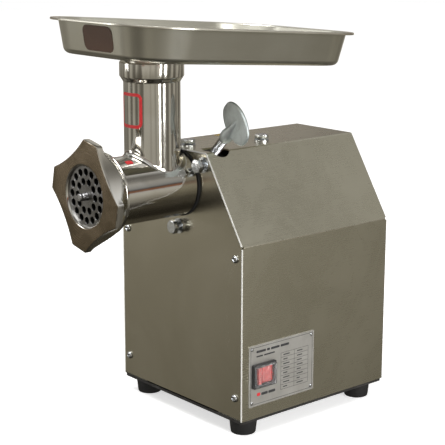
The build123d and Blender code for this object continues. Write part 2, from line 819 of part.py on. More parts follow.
cover_bush_y = case_back_y - 1.0
with BuildPart() as gearbox_cover:
    with BuildSketch(facing_front(cover_back_y)):
        add(case_section(0))
        with Locations((0, motor_z)):
            Circle(motor_radius)
        with Locations((0, motor_z)):
            Circle(motor_bearing_radius, mode=Mode.SUBTRACT)
        with Locations((0, middle_z)):
            Circle(middle_bush_radius, mode=Mode.SUBTRACT)
        with Locations(*cover_screw_places):
            Circle(2.0, mode=Mode.SUBTRACT)
    extrude(amount=cover_thickness)
    add(tube_between(cover_back_y, cover_back_y + 8, motor_bearing_radius + 4, motor_bearing_radius, motor_z))
export(gearbox_cover.part, "gearbox_cover")
cover_screw = pan_screw(3.8, 2.4, 2.0, cover_thickness)
export(
    group([Pos(x, cover_back_y, z) * Rot(-90, 0, 0) * cover_screw for x, z in cover_screw_places]),
    "gearbox_cover_screws",
)

middle_front_y = middle_bush_front_y + 1.0
middle_back_y = cover_back_y - 1.0
export(
    group(
        [
            tube_between(
                middle_bush_front_y, middle_bush_back_y, middle_bush_radius,
                middle_shaft_radius + running, middle_z,
            ),
            tube_between(
                cover_bush_y + 1, cover_back_y, middle_bush_radius, middle_shaft_radius + running, middle_z
            ),
        ]
    ),
    "middle_bushes",
)

# Output spindle: a square socket at the front drives the auger
spindle_front_y = neck_end_y + 1.0
spindle_back_y = carrier_back_y + 1.0
socket_depth = 18.0
with BuildPart() as spindle:
    add(
        turned(
            [
                (spindle_front_y, 0), (spindle_front_y, 15), (bearing_front_y, 15),
                (bearing_front_y, spindle_radius), (output_gear_front + output_gear_width, spindle_radius),
                (carrier_front_y, spindle_radius), (carrier_front_y, spindle_rear_radius),
                (spindle_back_y, spindle_rear_radius), (spindle_back_y, 0),
            ]
        )
    )
    with BuildSketch(facing_front(spindle_front_y + socket_depth, z=head_z)):
        Rectangle(tang_side + 0.6, tang_side + 0.6)
    extrude(amount=socket_depth + 1, mode=Mode.SUBTRACT)
export(spindle.part, "spindle")

with BuildPart() as output_gear:
    add(gear(output_module, output_teeth, -90, output_gear_front, output_gear_width, head_z))
    with BuildSketch(facing_front(output_gear_front + output_gear_width + 1, z=head_z)):
        Circle(spindle_radius)
    extrude(amount=output_gear_width + 2, mode=Mode.SUBTRACT)
export(output_gear.part, "output_gear")

with BuildPart() as middle_gear:
    add(
        gear(
            output_module, small_teeth, 90 + 180 / small_teeth,
            output_gear_front, output_gear_width, middle_z,
        )
    )
    add(
        turned(
            [
                (middle_front_y, 0), (middle_front_y, middle_shaft_radius),
                (middle_back_y, middle_shaft_radius), (middle_back_y, 0),
            ],
            middle_z,
        )
    )
export(middle_gear.part, "middle_pinion")

web_holes = 6
with BuildPart() as large_gear:
    add(gear(motor_module, large_teeth, -90, large_gear_front, large_gear_width, middle_z))
    with BuildSketch(facing_front(large_gear_front + large_gear_width + 1, z=middle_z)):
        Circle(middle_shaft_radius)
        with PolarLocations(24, web_holes):
            Circle(6.5)
    extrude(amount=large_gear_width + 2, mode=Mode.SUBTRACT)
export(large_gear.part, "middle_gear")

# Motor

pinion_front_y = large_gear_front - 1.0
rotor_end_y = front_y + 204.0
with BuildPart() as motor_shaft:
    add(
        gear(
            motor_module, pinion_teeth, 90 + 180 / pinion_teeth,
            pinion_front_y, large_gear_width + 2, motor_z,
        )
    )
    add(
        turned(
            [
                (pinion_front_y + large_gear_width + 2, 0),
                (pinion_front_y + large_gear_width + 2, motor_shaft_radius),
                (rotor_end_y, motor_shaft_radius), (rotor_end_y, 0),
            ],
            motor_z,
        )
    )
export(motor_shaft.part, "motor_shaft")
export(
    group(
        [
            bearing(
                y, y + motor_bearing_width, motor_bearing_radius, motor_shaft_radius + running, motor_z
            )
            for y in (motor_front_bearing_y, motor_rear_bearing_y)
        ]
    ),
    "motor_bearings",
)
rotor_bars = 18
with BuildPart() as rotor_core:
    with BuildSketch(facing_front(stator_back_y, z=motor_z)):
        Circle(rotor_radius)
        Circle(motor_shaft_radius, mode=Mode.SUBTRACT)
        with PolarLocations(rotor_radius - 4, rotor_bars):
            Circle(2.2, mode=Mode.SUBTRACT)
    extrude(amount=stator_back_y - stator_front_y)
export(rotor_core.part, "rotor_core")

stator_slots = 12
with BuildPart() as stator_core:
    with BuildSketch(facing_front(stator_back_y, z=motor_z)):
        Circle(motor_radius - 3)
        Circle(stator_bore, mode=Mode.SUBTRACT)
        with PolarLocations(stator_bore + 9, stator_slots):
            SlotOverall(14, 8, mode=Mode.SUBTRACT)
    extrude(amount=stator_back_y - stator_front_y)
export(stator_core.part, "stator_core")
with BuildPart() as winding_end:
    with BuildSketch(Plane.XZ):
        with Locations((stator_bore + 10, 0)):
            RectangleRounded(14, 9, 3)
    revolve(axis=Axis.Z)
windings = group(
    [
        Pos(0, y, motor_z) * Rot(90, 0, 0) * winding_end.part
        for y in (stator_front_y - 4.6, stator_back_y + 4.6)
    ]
)
export(windings, "windings")
shell_front_y = cover_back_y
shell_back_y = motor_back_y - end_shield_thickness
export(tube_between(shell_front_y, shell_back_y, motor_radius, motor_radius - 3, motor_z), "motor_shell")
with BuildPart() as motor_end_shield:
    with BuildSketch(facing_front(motor_back_y, z=motor_z)):
        Circle(motor_radius)
        Circle(motor_bearing_radius, mode=Mode.SUBTRACT)
        with PolarLocations(38, 6):
            SlotOverall(20, 7, mode=Mode.SUBTRACT)
    extrude(amount=end_shield_thickness)
    add(tube_between(motor_back_y, motor_back_y + 6, motor_bearing_radius + 4, motor_bearing_radius, motor_z))
export(motor_end_shield.part, "motor_end_shield")
fan_blades = 8
with BuildPart() as fan:
    with BuildSketch(facing_front(rotor_end_y + 1, z=motor_z)):
        Circle(12)
        with PolarLocations(0, fan_blades):
            with Locations((28, 0)):
                Rectangle(34, 2.4, rotation=12)
        Circle(motor_shaft_radius, mode=Mode.SUBTRACT)
    extrude(amount=6)
export(fan.part, "cooling_fan")

cradle_width = 76.0
cradle_sheet = 2.0
cradle_front_y = stator_front_y + 2
cradle_back_y = stator_back_y - 2
with BuildPart() as motor_cradle:
    with BuildSketch(facing_front(cradle_back_y)):
        with Locations((0, (cabinet_bottom + motor_z - 30) / 2)):
            Rectangle(cradle_width, motor_z - 30 - cabinet_bottom)
            Rectangle(cradle_width - 2 * cradle_sheet, motor_z - 30 - cabinet_bottom, mode=Mode.SUBTRACT)
        with Locations((0, cabinet_bottom + cradle_sheet / 2)):
            Rectangle(cradle_width + 28, cradle_sheet)
            Rectangle(cradle_width - 2 * cradle_sheet, cradle_sheet, mode=Mode.SUBTRACT)
        with Locations((0, motor_z - motor_radius - 3)):
            Rectangle(cradle_width, cradle_sheet)
        with Locations((0, motor_z)):
            Circle(motor_radius, mode=Mode.SUBTRACT)
    extrude(amount=cradle_back_y - cradle_front_y)
    for x, y in cradle_screw_places:
        with Locations((x, y, cabinet_bottom)):
            Cylinder(2.0, 8, mode=Mode.SUBTRACT)
export(motor_cradle.part, "motor_cradle")
cradle_screw = pan_screw(4.0, 2.6, 2.0, cradle_sheet + base_thickness)
export(
    group([Pos(x, y, cabinet_bottom + cradle_sheet) * cradle_screw for x, y in cradle_screw_places]),
    "cradle_screws",
)

capacitor_radius = 17.5
capacitor_x = 10.0
capacitor_z = cabinet_bottom + capacitor_radius + 3
with BuildPart() as capacitor:
    with BuildSketch(facing_front(front_y + 90, capacitor_x, capacitor_z)):
        Circle(capacitor_radius)
    extrude(amount=60)
    fillet(capacitor.edges().filter_by(GeomType.CIRCLE), 1.5)
    with BuildSketch(facing_front(front_y + 96, capacitor_x, capacitor_z)):
        with Locations((-6, 0), (6, 0)):
            Rectangle(0.8, 6.3)
    extrude(amount=7)
export(capacitor.part, "capacitor")
with BuildPart() as capacitor_clip:
    with BuildSketch(facing_front(front_y + 68, capacitor_x, capacitor_z)):
        Circle(capacitor_radius + 1.5)
        with Locations((0, -capacitor_radius - 1.5)):
            Rectangle(50, 3)
        Circle(capacitor_radius, mode=Mode.SUBTRACT)
    extrude(amount=14)
export(capacitor_clip.part, "capacitor_clip")

# Nameplate and switch

nameplate_y = (plate_low_y + plate_high_y) / 2
nameplate_z = (plate_low_z + plate_high_z) / 2
rivet_inset = 4.2
rivet_places = [
    (y, z)
    for y in (plate_low_y + rivet_inset, plate_high_y - rivet_inset)
    for z in (plate_low_z + rivet_inset, plate_high_z - rivet_inset)
]
with BuildPart() as nameplate:
    with BuildSketch(facing_right(side_x)):
        with Locations((nameplate_y, nameplate_z)):
            RectangleRounded(plate_high_y - plate_low_y, plate_high_z - plate_low_z, 1.5)
        with Locations((switch_y, switch_z)):
            Rectangle(switch_length + 0.6, switch_height + 0.6, mode=Mode.SUBTRACT)
    extrude(amount=nameplate_sheet)
export(nameplate.part, "nameplate")
with BuildPart() as rivet:
    with BuildSketch(Plane.XY):
        Circle(1.7)
    extrude(amount=0.9)
    fillet(rivet.edges().sort_by(Axis.Z)[-1], 0.6)
rivets = group(
    [Pos(side_x + nameplate_sheet, y, z) * Rot(0, 90, 0) * rivet.part for y, z in rivet_places]
)
export(rivets, "nameplate_rivets")

bezel_x = side_x + nameplate_sheet
switch_depth = 22.0
well_length = 24.0
well_height = 18.6
with BuildPart() as switch_body:
    with BuildSketch(facing_right(bezel_x, switch_y, switch_z)):
        RectangleRounded(bezel_length, bezel_height, 2)
    extrude(amount=bezel_depth)
    fillet(switch_body.faces().sort_by(Axis.X)[-1].edges(), 0.8)
    with BuildSketch(facing_right(bezel_x, switch_y, switch_z)):
        Rectangle(switch_length, switch_height)
    extrude(amount=-switch_depth)
    with BuildSketch(facing_right(bezel_x + bezel_depth, switch_y, switch_z)):
        Rectangle(well_length, well_height)
    extrude(amount=-13, mode=Mode.SUBTRACT)
    with BuildSketch(facing_right(bezel_x - switch_depth, switch_y, switch_z)):
        with GridLocations(14, 8, 2, 2):
            Rectangle(0.8, 4.8)
    extrude(amount=-8)
export(switch_body.part, "switch_body")

rocker_pivot_x = bezel_x - 3.0
rocker_tilt = 9.0
with BuildPart() as rocker:
    with BuildSketch(Plane.XY.offset(-(well_height - 0.8) / 2)):
        with BuildLine():
            Polyline((0, -10.6), (5.6, -11.2), (5.6, 11.2), (0, 10.6), (-3.5, 5), (-3.5, -5), close=True)
        make_face()
        with Locations((17.5, 0)):
            Circle(13.6, mode=Mode.SUBTRACT)
    extrude(amount=well_height - 0.8)
export(Pos(rocker_pivot_x, switch_y, switch_z) * Rot(0, 0, rocker_tilt) * rocker.part, "switch_rocker")

cover_height = 2.3
with BuildPart() as switch_cover:
    with BuildSketch(facing_right(bezel_x + bezel_depth, switch_y, switch_z)):
        RectangleRounded(bezel_length - 2, bezel_height - 2, 2)
    extrude(amount=cover_height)
    fillet(switch_cover.faces().sort_by(Axis.X)[-1].edges(), 1.5)
    with BuildSketch(facing_right(bezel_x + bezel_depth, switch_y, switch_z)):
        RectangleRounded(bezel_length - 4, bezel_height - 4, 1.2)
    extrude(amount=cover_height - 0.8, mode=Mode.SUBTRACT)
export(switch_cover.part, "switch_cover")

# Cable gland

gland_hex = 19.0
with BuildPart() as cable_gland:
    with BuildSketch(facing_front(back_y + 5, gland_x, gland_z)):
        RegularPolygon(radius=gland_hex / sqrt(3), side_count=6)
    extrude(amount=5)
    with BuildSketch(facing_front(back_y + 8, gland_x, gland_z)):
        Circle(gland_thread)
    extrude(amount=8 + sheet + 8)
    with BuildSketch(facing_front(back_y + 9, gland_x, gland_z)):
        Circle(gland_bore)
    extrude(amount=30, mode=Mode.SUBTRACT)
export(cable_gland.part, "cable_gland")
with BuildPart() as gland_cap:
    with BuildSketch(facing_front(back_y + 13, gland_x, gland_z)):
        RegularPolygon(radius=gland_hex / sqrt(3) - 0.6, side_count=6)
    extrude(amount=7.6)
    fillet(gland_cap.faces().sort_by(Axis.Y)[-1].edges(), 1.5)
    with BuildSketch(facing_front(back_y + 14, gland_x, gland_z)):
        Circle(gland_bore)
    extrude(amount=9, mode=Mode.SUBTRACT)
    with BuildSketch(facing_front(back_y + 8, gland_x, gland_z)):
        Circle(gland_thread)
    extrude(amount=4, mode=Mode.SUBTRACT)
export(gland_cap.part, "gland_cap")
with BuildPart() as gland_nut:
    with BuildSketch(facing_front(back_y - sheet, gland_x, gland_z)):
        RegularPolygon(radius=gland_hex / sqrt(3) + 0.8, side_count=6)
        Circle(gland_thread, mode=Mode.SUBTRACT)
    extrude(amount=4.5)
export(gland_nut.part, "gland_nut")
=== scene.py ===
import bpy
import bmesh
import json
from math import atan2, cos, pi, radians, sin, tan
from mathutils import Matrix, Vector


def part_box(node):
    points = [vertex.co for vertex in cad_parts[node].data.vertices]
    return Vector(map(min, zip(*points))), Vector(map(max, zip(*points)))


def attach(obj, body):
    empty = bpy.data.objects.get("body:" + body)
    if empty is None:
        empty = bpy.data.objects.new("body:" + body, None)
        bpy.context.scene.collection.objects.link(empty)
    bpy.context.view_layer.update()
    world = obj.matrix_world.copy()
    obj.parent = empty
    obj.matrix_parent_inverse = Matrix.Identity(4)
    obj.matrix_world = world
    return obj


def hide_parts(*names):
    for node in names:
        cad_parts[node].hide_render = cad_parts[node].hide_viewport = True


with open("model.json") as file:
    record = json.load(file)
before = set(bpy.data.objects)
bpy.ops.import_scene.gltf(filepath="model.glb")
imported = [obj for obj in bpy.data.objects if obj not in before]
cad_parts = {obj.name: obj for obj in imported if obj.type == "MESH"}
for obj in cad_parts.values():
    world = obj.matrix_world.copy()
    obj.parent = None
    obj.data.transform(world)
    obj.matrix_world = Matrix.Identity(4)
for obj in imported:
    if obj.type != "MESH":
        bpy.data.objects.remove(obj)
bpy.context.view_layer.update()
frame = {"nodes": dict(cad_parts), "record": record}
nodes = frame["nodes"]
record = frame["record"]
mm = 0.001

nodeBody = {node: body for body, members in record["behaviour"]["bodies"].items() for node in members}
nodeSlot = {entry["node"]: entry["material_slot"] for entry in record["subparts"]}
throat = next(mount for mount in record["mounts"] if mount["name"] == "feed_throat")
clampJoint = next(joint for joint in record["behaviour"]["joints"] if joint["name"] == "wing_turn")
plateLow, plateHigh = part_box("plate")
headZ = (plateLow.z + plateHigh.z) / 2
wrapLow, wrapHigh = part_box("housing_wrap")


class Flow:
    # one socket, with arithmetic that adds Math nodes
    def __init__(self, shade, socket):
        self.shade = shade
        self.socket = socket

    def __add__(self, other):
        return self.shade.sum("ADD", self, other)

    def __radd__(self, other):
        return self.shade.sum("ADD", other, self)

    def __sub__(self, other):
        return self.shade.sum("SUBTRACT", self, other)

    def __rsub__(self, other):
        return self.shade.sum("SUBTRACT", other, self)

    def __mul__(self, other):
        return self.shade.sum("MULTIPLY", self, other)


class Shade:
    # a node tree being filled
    def __init__(self, tree):
        self.tree = tree

    def add(self, kind, settings=None, values=None, out=0):
        # settings first, then the values or links of the sockets
        node = self.tree.nodes.new("ShaderNode" + kind)
        for name, value in (settings or {}).items():
            if name == "stops":
                self.setStops(node.color_ramp, value)
            else:
                setattr(node, name, value)
        for name, value in (values or {}).items():
            self.feed(node.inputs[name], value)
        return Flow(self, node.outputs[out])

    def setStops(self, ramp, stops):
        while len(ramp.elements) < len(stops):
            ramp.elements.new(0.5)
        for element, (position, colour) in zip(ramp.elements, stops):
            element.position = position
            element.color = (*colour, 1)

    def feed(self, socket, value):
        if isinstance(value, Flow):
            self.tree.links.new(value.socket, socket)
            return
        held = socket.default_value
        if hasattr(held, "__len__") and len(held) == len(value) + 1:
            value = (*value, 1)  # a colour given without its alpha
        socket.default_value = value

    def sum(self, operation, a, b):
        return self.add("Math", {"operation": operation}, {0: a, 1: b})

    def blend(self, factor, a, b, mode="MIX"):
        return self.add("Mix", {"data_type": "RGBA", "blend_type": mode}, {0: factor, 6: a, 7: b}, out=2)

    def place(self, scale=(1, 1, 1), move=(0, 0, 0)):
        where = self.add("TexCoord", out=3)
        return self.add("Mapping", None, {"Vector": where, "Scale": scale, "Location": move})

    def noise(self, scale, detail=3, rough=0.5, where=None, warp=0.0):
        values = {"Vector": where or self.place(), "Scale": scale, "Detail": detail}
        values.update({"Roughness": rough, "Distortion": warp})
        return self.add("TexNoise", None, values)

    def between(self, value, low, high, toLow=0.0, toHigh=1.0):
        values = {"Value": value, "From Min": low, "From Max": high, "To Min": toLow, "To Max": toHigh}
        return self.add("MapRange", {"interpolation_type": "SMOOTHSTEP"}, values)

    def mottle(self, value, dark, light):
        # two tones, the noise value deciding between them
        return self.blend(self.between(value, 0.3, 0.7), dark, light)

    def bump(self, height, depth, strength=1.0, under=None):
        values = {"Height": height, "Distance": depth * mm, "Strength": strength}
        if under:
            values["Normal"] = under
        return self.add("Bump", None, values)


def material(name, build, **constants):
    mat = bpy.data.materials.new(name)
    mat.use_nodes = True
    shade = Shade(mat.node_tree)
    surface = mat.node_tree.nodes["Principled BSDF"]
    for socket, value in constants.items():
        shade.feed(surface.inputs[socket.replace("_", " ")], value)
    for socket, value in build(shade).items():
        shade.feed(surface.inputs[socket], value)
    return mat


def darker(colour, share):
    return [channel * share for channel in colour]


# the edge entries colour the raw cut edge; its light tone is partly real bare metal and partly a painted
# highlight
sheetLook = {
    "coarse": 0.22, "clouds": 7.0, "swirls": 15.0, "smears": 11.0, "grainTint": 0.12, "smearTint": 0.08,
    "grainDepth": 0.01, "grainStrength": 0.22, "waveDepth": 6, "waveStrength": 0.08,
    "edgeFrom": 0.3, "edgeTo": 0.9, "rawEdgeAndHighlightTone": (0.74, 0.735, 0.70), "edgeBareness": 0.7, "edgeRough": 0.12,
}


def sheetFinish(grain, tone, deep, rough, cloudy, cutEdgeY=None):
    # grain: its scale on x, y and z; the small number is the brushing direction
    def build(s):
        look = sheetLook
        fine = s.noise(1.0, 5, 0.62, s.place(grain))
        coarse = s.noise(1.0, 3, 0.5, s.place([share * look["coarse"] for share in grain]))
        clouds = s.noise(look["clouds"], 3, 0.5, None, 1.2)
        swirls = s.noise(look["swirls"], 2, 0.5, None, 3.0)
        smears = s.between(s.noise(look["smears"], 4, 0.6, s.place((1, 1, 0.3)), 1.4), 0.58, 0.80)
        tint = s.blend(s.between(clouds, 0.30, 0.72), deep, tone)
        tint = s.blend(fine * look["grainTint"], tint, darker(deep, 0.62))
        gloss = rough + (fine - 0.5) * 0.08 + (clouds - 0.5) * 0.05 * cloudy + (swirls - 0.5) * 0.06 * cloudy
        wave = s.bump(s.noise(5.0, 2, 0.4), look["waveDepth"], look["waveStrength"])
        sheet = {
            "Base Color": s.blend(smears * look["smearTint"], tint, darker(deep, 0.75)),
            "Roughness": gloss + smears * 0.02,
            "Metallic": 1.0 - smears * 0.03,
            "Normal": s.bump(fine * 0.6 + coarse * 0.4, look["grainDepth"], look["grainStrength"], wave),
        }
        if cutEdgeY is not None:
            # the guillotined front edge is raw, and its light tone is partly a painted highlight
            y = s.add("SeparateXYZ", None, {0: s.add("TexCoord", out=3)}, out=1)
            edge = s.between(y, cutEdgeY + look["edgeFrom"] * mm, cutEdgeY + look["edgeTo"] * mm, 1.0, 0.0)
            sheet["Base Color"] = s.blend(edge, sheet["Base Color"], look["rawEdgeAndHighlightTone"])
            sheet["Metallic"] = 1.0 - edge * look["edgeBareness"]
            sheet["Roughness"] = sheet["Roughness"] + edge * look["edgeRough"]
        return sheet
    return build


sideSheet = sheetFinish((1500, 34, 1500), (0.715, 0.69, 0.57), (0.66, 0.635, 0.52), 0.28, 1.0, wrapLow.y)
# the front and back panels: the brushing runs across, and the tone is darker than the side sheet's as painted
# shade
frontSheetShaded = sheetFinish((34, 1500, 1500), (0.63, 0.60, 0.50), (0.55, 0.52, 0.42), 0.25, 0.5)
traySheet = sheetFinish((420, 24, 420), (0.84, 0.83, 0.74), (0.76, 0.745, 0.65), 0.30, 0.6)
panelSide = material("BrushedSideSheet", sideSheet)
panelFrontShaded = material("BrushedFrontSheetShaded", frontSheetShaded)
traySteel = material("SatinTraySheet", traySheet)

polishLook = {
    "bright": (0.76, 0.75, 0.72), "warm": (0.66, 0.635, 0.58), "grime": (0.44, 0.38, 0.30), "grimeTint": 0.30,
    "rough": 0.07, "ripples": 16.0, "rippleDepth": 1.6, "rippleStrength": 0.16,
}


def polishedBuild(s):
    look = polishLook
    ripple = s.noise(look["ripples"], 2, 0.4, None, 0.5)
    haze = s.noise(60.0, 4, 0.6, None, 0.8)
    hair = s.noise(1.0, 4, 0.7, s.place((60, 850, 60)))
    wipe = s.noise(1.0, 3, 0.6, s.place((240, 40, 18)), 0.6)
    grime = s.between(s.noise(26.0, 5, 0.7), 0.58, 0.80)
    tint = s.blend(s.between(ripple, 0.35, 0.7), look["warm"], look["bright"])
    wave = s.bump(ripple, look["rippleDepth"], look["rippleStrength"])
    return {
        "Base Color": s.blend(grime * look["grimeTint"], tint, look["grime"]),
        "Roughness": look["rough"] + haze * 0.06 + grime * 0.09 + (wipe - 0.5) * 0.05,
        "Normal": s.bump(hair, 0.01, 0.35, wave),
    }


polishedSteel = material("PolishedHeadSteel", polishedBuild, Metallic=1.0)

latheLook = {"ringsPerMetre": 1500.0, "broad": 24.0, "stains": 60.0, "stainTint": 0.3, "ringStrength": 0.5}


def turnedFace(tone, deep, rough, depth=0.03):
    # lathe rings about the head's axis
    def build(s):
        look = latheLook
        across = s.place((1, 0, 1), (0, 0, -headZ))
        distance = s.add("VectorMath", {"operation": "LENGTH"}, {0: across}, out=1)
        ringValues = {"W": distance, "Scale": look["ringsPerMetre"], "Detail": 2.0}
        rings = s.add("TexNoise", {"noise_dimensions": "1D"}, ringValues)
        broad = s.noise(look["broad"], 4, 0.6, None, 0.8)
        stain = s.between(s.noise(look["stains"], 5, 0.65), 0.55, 0.75)
        tint = s.blend(s.between(broad, 0.35, 0.7), deep, tone)
        return {
            "Base Color": s.blend(stain * look["stainTint"], tint, darker(deep, 0.6)),
            "Roughness": rough + (rings - 0.5) * 0.12 + (broad - 0.5) * 0.12,
            "Normal": s.bump(rings, depth, look["ringStrength"]),
        }
    return build


bronzeTone = turnedFace((0.30, 0.24, 0.17), (0.19, 0.15, 0.10), 0.26)
darkGround = turnedFace((0.34, 0.34, 0.34), (0.20, 0.195, 0.19), 0.30)
cleanTurned = turnedFace((0.58, 0.58, 0.59), (0.44, 0.44, 0.45), 0.28, 0.02)
ringFace = material("TurnedRingFace", bronzeTone, Metallic=1.0)
groundPlate = material("GroundPlateSteel", darkGround, Metallic=1.0)
machineSteel = material("MachinedSteel", cleanTurned, Metallic=1.0)


def zincFinish(light, dark, rough, spangles):
    # spangles: how many to the metre
    def build(s):
        colour = s.add("TexVoronoi", None, {"Vector": s.place(), "Scale": spangles}, out=1)
        spangle = s.add("SeparateColor", None, {"Color": colour})
        cloud = s.noise(spangles * 0.25, 4, 0.6, None, 1.0)
        pits = s.noise(spangles * 1.6, 3, 0.6)
        return {
            "Base Color": s.blend(spangle * 0.12, s.mottle(cloud, dark, light), (0.9, 0.93, 0.97)),
            "Roughness": rough + (cloud - 0.5) * 0.22 + spangle * 0.06,
            "Normal": s.bump(pits, 0.06, 0.35),
        }
    return build


platedZinc = zincFinish((0.82, 0.85, 0.88), (0.62, 0.65, 0.68), 0.20, 700)
castZinc = zincFinish((0.56, 0.62, 0.615), (0.43, 0.475, 0.475), 0.42, 260)
zincBright = material("BrightZinc", platedZinc, Metallic=1.0)
zincDull = material("DullCastZinc", castZinc, Metallic=0.85)


def dustyFinish(colour, dustTone, rough, grains, depth):
    # paint, rubber and plastic: a fine grain and some dust
    def build(s):
        grain = s.noise(grains, 4, 0.6)
        dust = s.between(s.noise(38.0, 5, 0.65, None, 0.6), 0.48, 0.75)
        return {
            "Base Color": s.blend(dust * 0.55, colour, dustTone),
            "Roughness": rough + (grain - 0.5) * 0.18 + dust * 0.12,
            "Normal": s.bump(grain, depth, 0.5),
        }
    return build


paint = dustyFinish((0.018, 0.017, 0.016), (0.06, 0.056, 0.05), 0.46, 1100, 0.05)
rubber = dustyFinish((0.010, 0.010, 0.010), (0.032, 0.030, 0.028), 0.66, 1600, 0.08)
nylon = dustyFinish((0.016, 0.016, 0.017), (0.045, 0.045, 0.045), 0.34, 2200, 0.03)
greyPlastic = dustyFinish((0.34, 0.34, 0.34), (0.24, 0.235, 0.225), 0.48, 1500, 0.03)
blackPaint = material("BlackBasePaint", paint)
rubberBlack = material("FootRubber", rubber)
nylonBlack = material("SwitchNylon", nylon)
greyShell = material("GreyPlastic", greyPlastic)


def castFinish(light, dark, rough):
    def build(s):
        sand = s.noise(900.0, 5, 0.7)
        cloud = s.noise(24.0, 4, 0.6, None, 0.8)
        return {
            "Base Color": s.mottle(cloud, dark, light),
            "Roughness": rough + (sand - 0.5) * 0.25,
            "Normal": s.bump(sand, 0.12, 0.6),
        }
    return build


sandCast = castFinish((0.62, 0.62, 0.61), (0.50, 0.50, 0.49), 0.46)
sintered = castFinish((0.66, 0.48, 0.25), (0.48, 0.33, 0.17), 0.44)
castMetal = material("CastAluminium", sandCast, Metallic=0.95)
bronzeBush = material("SinteredBronze", sintered, Metallic=1.0)

motorLook = {"sheetPitch": 0.9, "sheetDepth": 0.12, "wires": 420.0, "wireDepth": 0.3}


def laminationBuild(s):
    y = s.add("SeparateXYZ", None, {"Vector": s.place()}, out=1)
    layers = s.add("Math", {"operation": "SINE"}, {0: y * (2 * pi / (motorLook["sheetPitch"] * mm))})
    cloud = s.noise(40.0, 4, 0.6)
    return {
        "Base Color": s.mottle(cloud, (0.20, 0.21, 0.23), (0.36, 0.37, 0.39)),
        "Roughness": 0.45 + layers * 0.08,
        "Normal": s.bump(layers, motorLook["sheetDepth"], 0.6),
    }


def windingBuild(s):
    wave = {"Vector": s.place(), "Scale": motorLook["wires"], "Distortion": 3.0, "Detail": 2.0}
    wires = s.add("TexWave", {"bands_direction": "DIAGONAL"}, wave, out=1)
    cloud = s.noise(60.0, 3, 0.6)
    return {
        "Base Color": s.mottle(cloud, (0.52, 0.18, 0.06), (0.75, 0.34, 0.14)),
        "Roughness": 0.30 + cloud * 0.15,
        "Normal": s.bump(wires, motorLook["wireDepth"], 0.8),
    }


laminations = material("MotorLaminations", laminationBuild, Metallic=0.9)
copperWire = material("EnamelledCopper", windingBuild, Metallic=0.85)


def foilBuild(s):
    satin = s.noise(1.0, 4, 0.6, s.place((1200, 30, 1200)))
    cloud = s.noise(30.0, 4, 0.6)
    return {
        "Base Color": s.blend(s.between(cloud, 0.35, 0.7), (0.50, 0.49, 0.46), (0.60, 0.59, 0.56)),
        "Roughness": 0.36 + (satin - 0.5) * 0.12,
        "Normal": s.bump(satin, 0.01, 0.4),
    }


plateFoil = material("NameplateFoil", foilBuild, Metallic=0.75)


def inkFinish(colour, worn):
    def build(s):
        rub = s.between(s.noise(260.0, 5, 0.7), 0.55, 0.75)
        cloud = s.noise(500.0, 3, 0.6)
        return {
            "Base Color": s.blend(rub * 0.3, colour, worn),
            "Roughness": 0.34 + cloud * 0.16,
            "Normal": s.bump(cloud, 0.01, 0.4),
        }
    return build


inkBlack = material("PrintBlack", inkFinish((0.03, 0.03, 0.032), (0.12, 0.12, 0.12)))
inkRed = material("PrintRed", inkFinish((0.50, 0.014, 0.018), (0.60, 0.10, 0.08)))
inkYellow = material("PrintYellow", inkFinish((0.80, 0.55, 0.08), (0.62, 0.44, 0.12)))
inkBrown = material("LabelBrown", inkFinish((0.055, 0.028, 0.016), (0.11, 0.065, 0.04)))


def redLensBuild(s):
    glow = s.noise(120.0, 3, 0.6)
    scuff = s.between(s.noise(420.0, 5, 0.7), 0.55, 0.8)
    return {
        "Base Color": s.blend(glow, (0.30, 0.004, 0.003), (0.52, 0.014, 0.008)),
        "Roughness": 0.14 + scuff * 0.22,
        "Normal": s.bump(scuff, 0.02, 0.3),
    }


def clearBuild(s):
    haze = s.noise(160.0, 4, 0.6, None, 0.6)
    return {
        "Base Color": s.blend(haze, (0.96, 0.95, 0.94), (1.0, 1.0, 1.0)),
        "Roughness": 0.03 + haze * 0.07,
        "Normal": s.bump(haze, 0.15, 0.25),
    }


redLens = material("RockerRed", redLensBuild, Coat_Weight=0.6)
clearBoot = material("ClearSplashCover", clearBuild, Transmission_Weight=0.97, IOR=1.2)
print("finishes ready")


def finishPiece(name, mesh, body, mats, node, sharp=32, weighted=True):
    piece = bpy.data.objects.new(name, mesh)
    bpy.context.scene.collection.objects.link(piece)
    for mat in mats:
        mesh.materials.append(mat)
    for face in mesh.polygons:
        face.use_smooth = True
    mesh.set_sharp_from_angle(angle=radians(sharp))
    if weighted:
        even = piece.modifiers.new("EvenNormals", "WEIGHTED_NORMAL")
        even.keep_sharp = True
        even.weight = 90
    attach(piece, body)
    if node:
        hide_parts(node)
    return piece


softening = {"weld": 0.002, "flatAngle": 0.6, "creaseAngle": 32, "segments": 2}


def softened(node, edge, finish):
    # a merged copy of a CAD part; edge is the rounding in millimetres, and 0 leaves the facets alone
    weld = softening["weld"] * mm
    copied = bmesh.new()
    copied.from_mesh(nodes[node].data)
    bmesh.ops.remove_doubles(copied, verts=copied.verts, dist=weld)
    bmesh.ops.dissolve_degenerate(copied, dist=weld, edges=copied.edges)
    if edge:
        flat = radians(softening["flatAngle"])
        bmesh.ops.dissolve_limit(copied, angle_limit=flat, verts=copied.verts, edges=copied.edges)
        crease = radians(softening["creaseAngle"])
        paired = [line for line in copied.edges if len(line.link_faces) == 2]
        creases = [line for line in paired if line.calc_face_angle(0) > crease]
        bmesh.ops.bevel(copied, geom=creases, offset=edge * mm, offset_type="OFFSET", affect="EDGES",
                        segments=softening["segments"], profile=0.5, material=-1, clamp_overlap=True)
    mesh = bpy.data.meshes.new(node + "Mesh")
    copied.to_mesh(mesh)
    copied.free()
    finishPiece(node + "_piece", mesh, nodeBody[node], [finish], node)


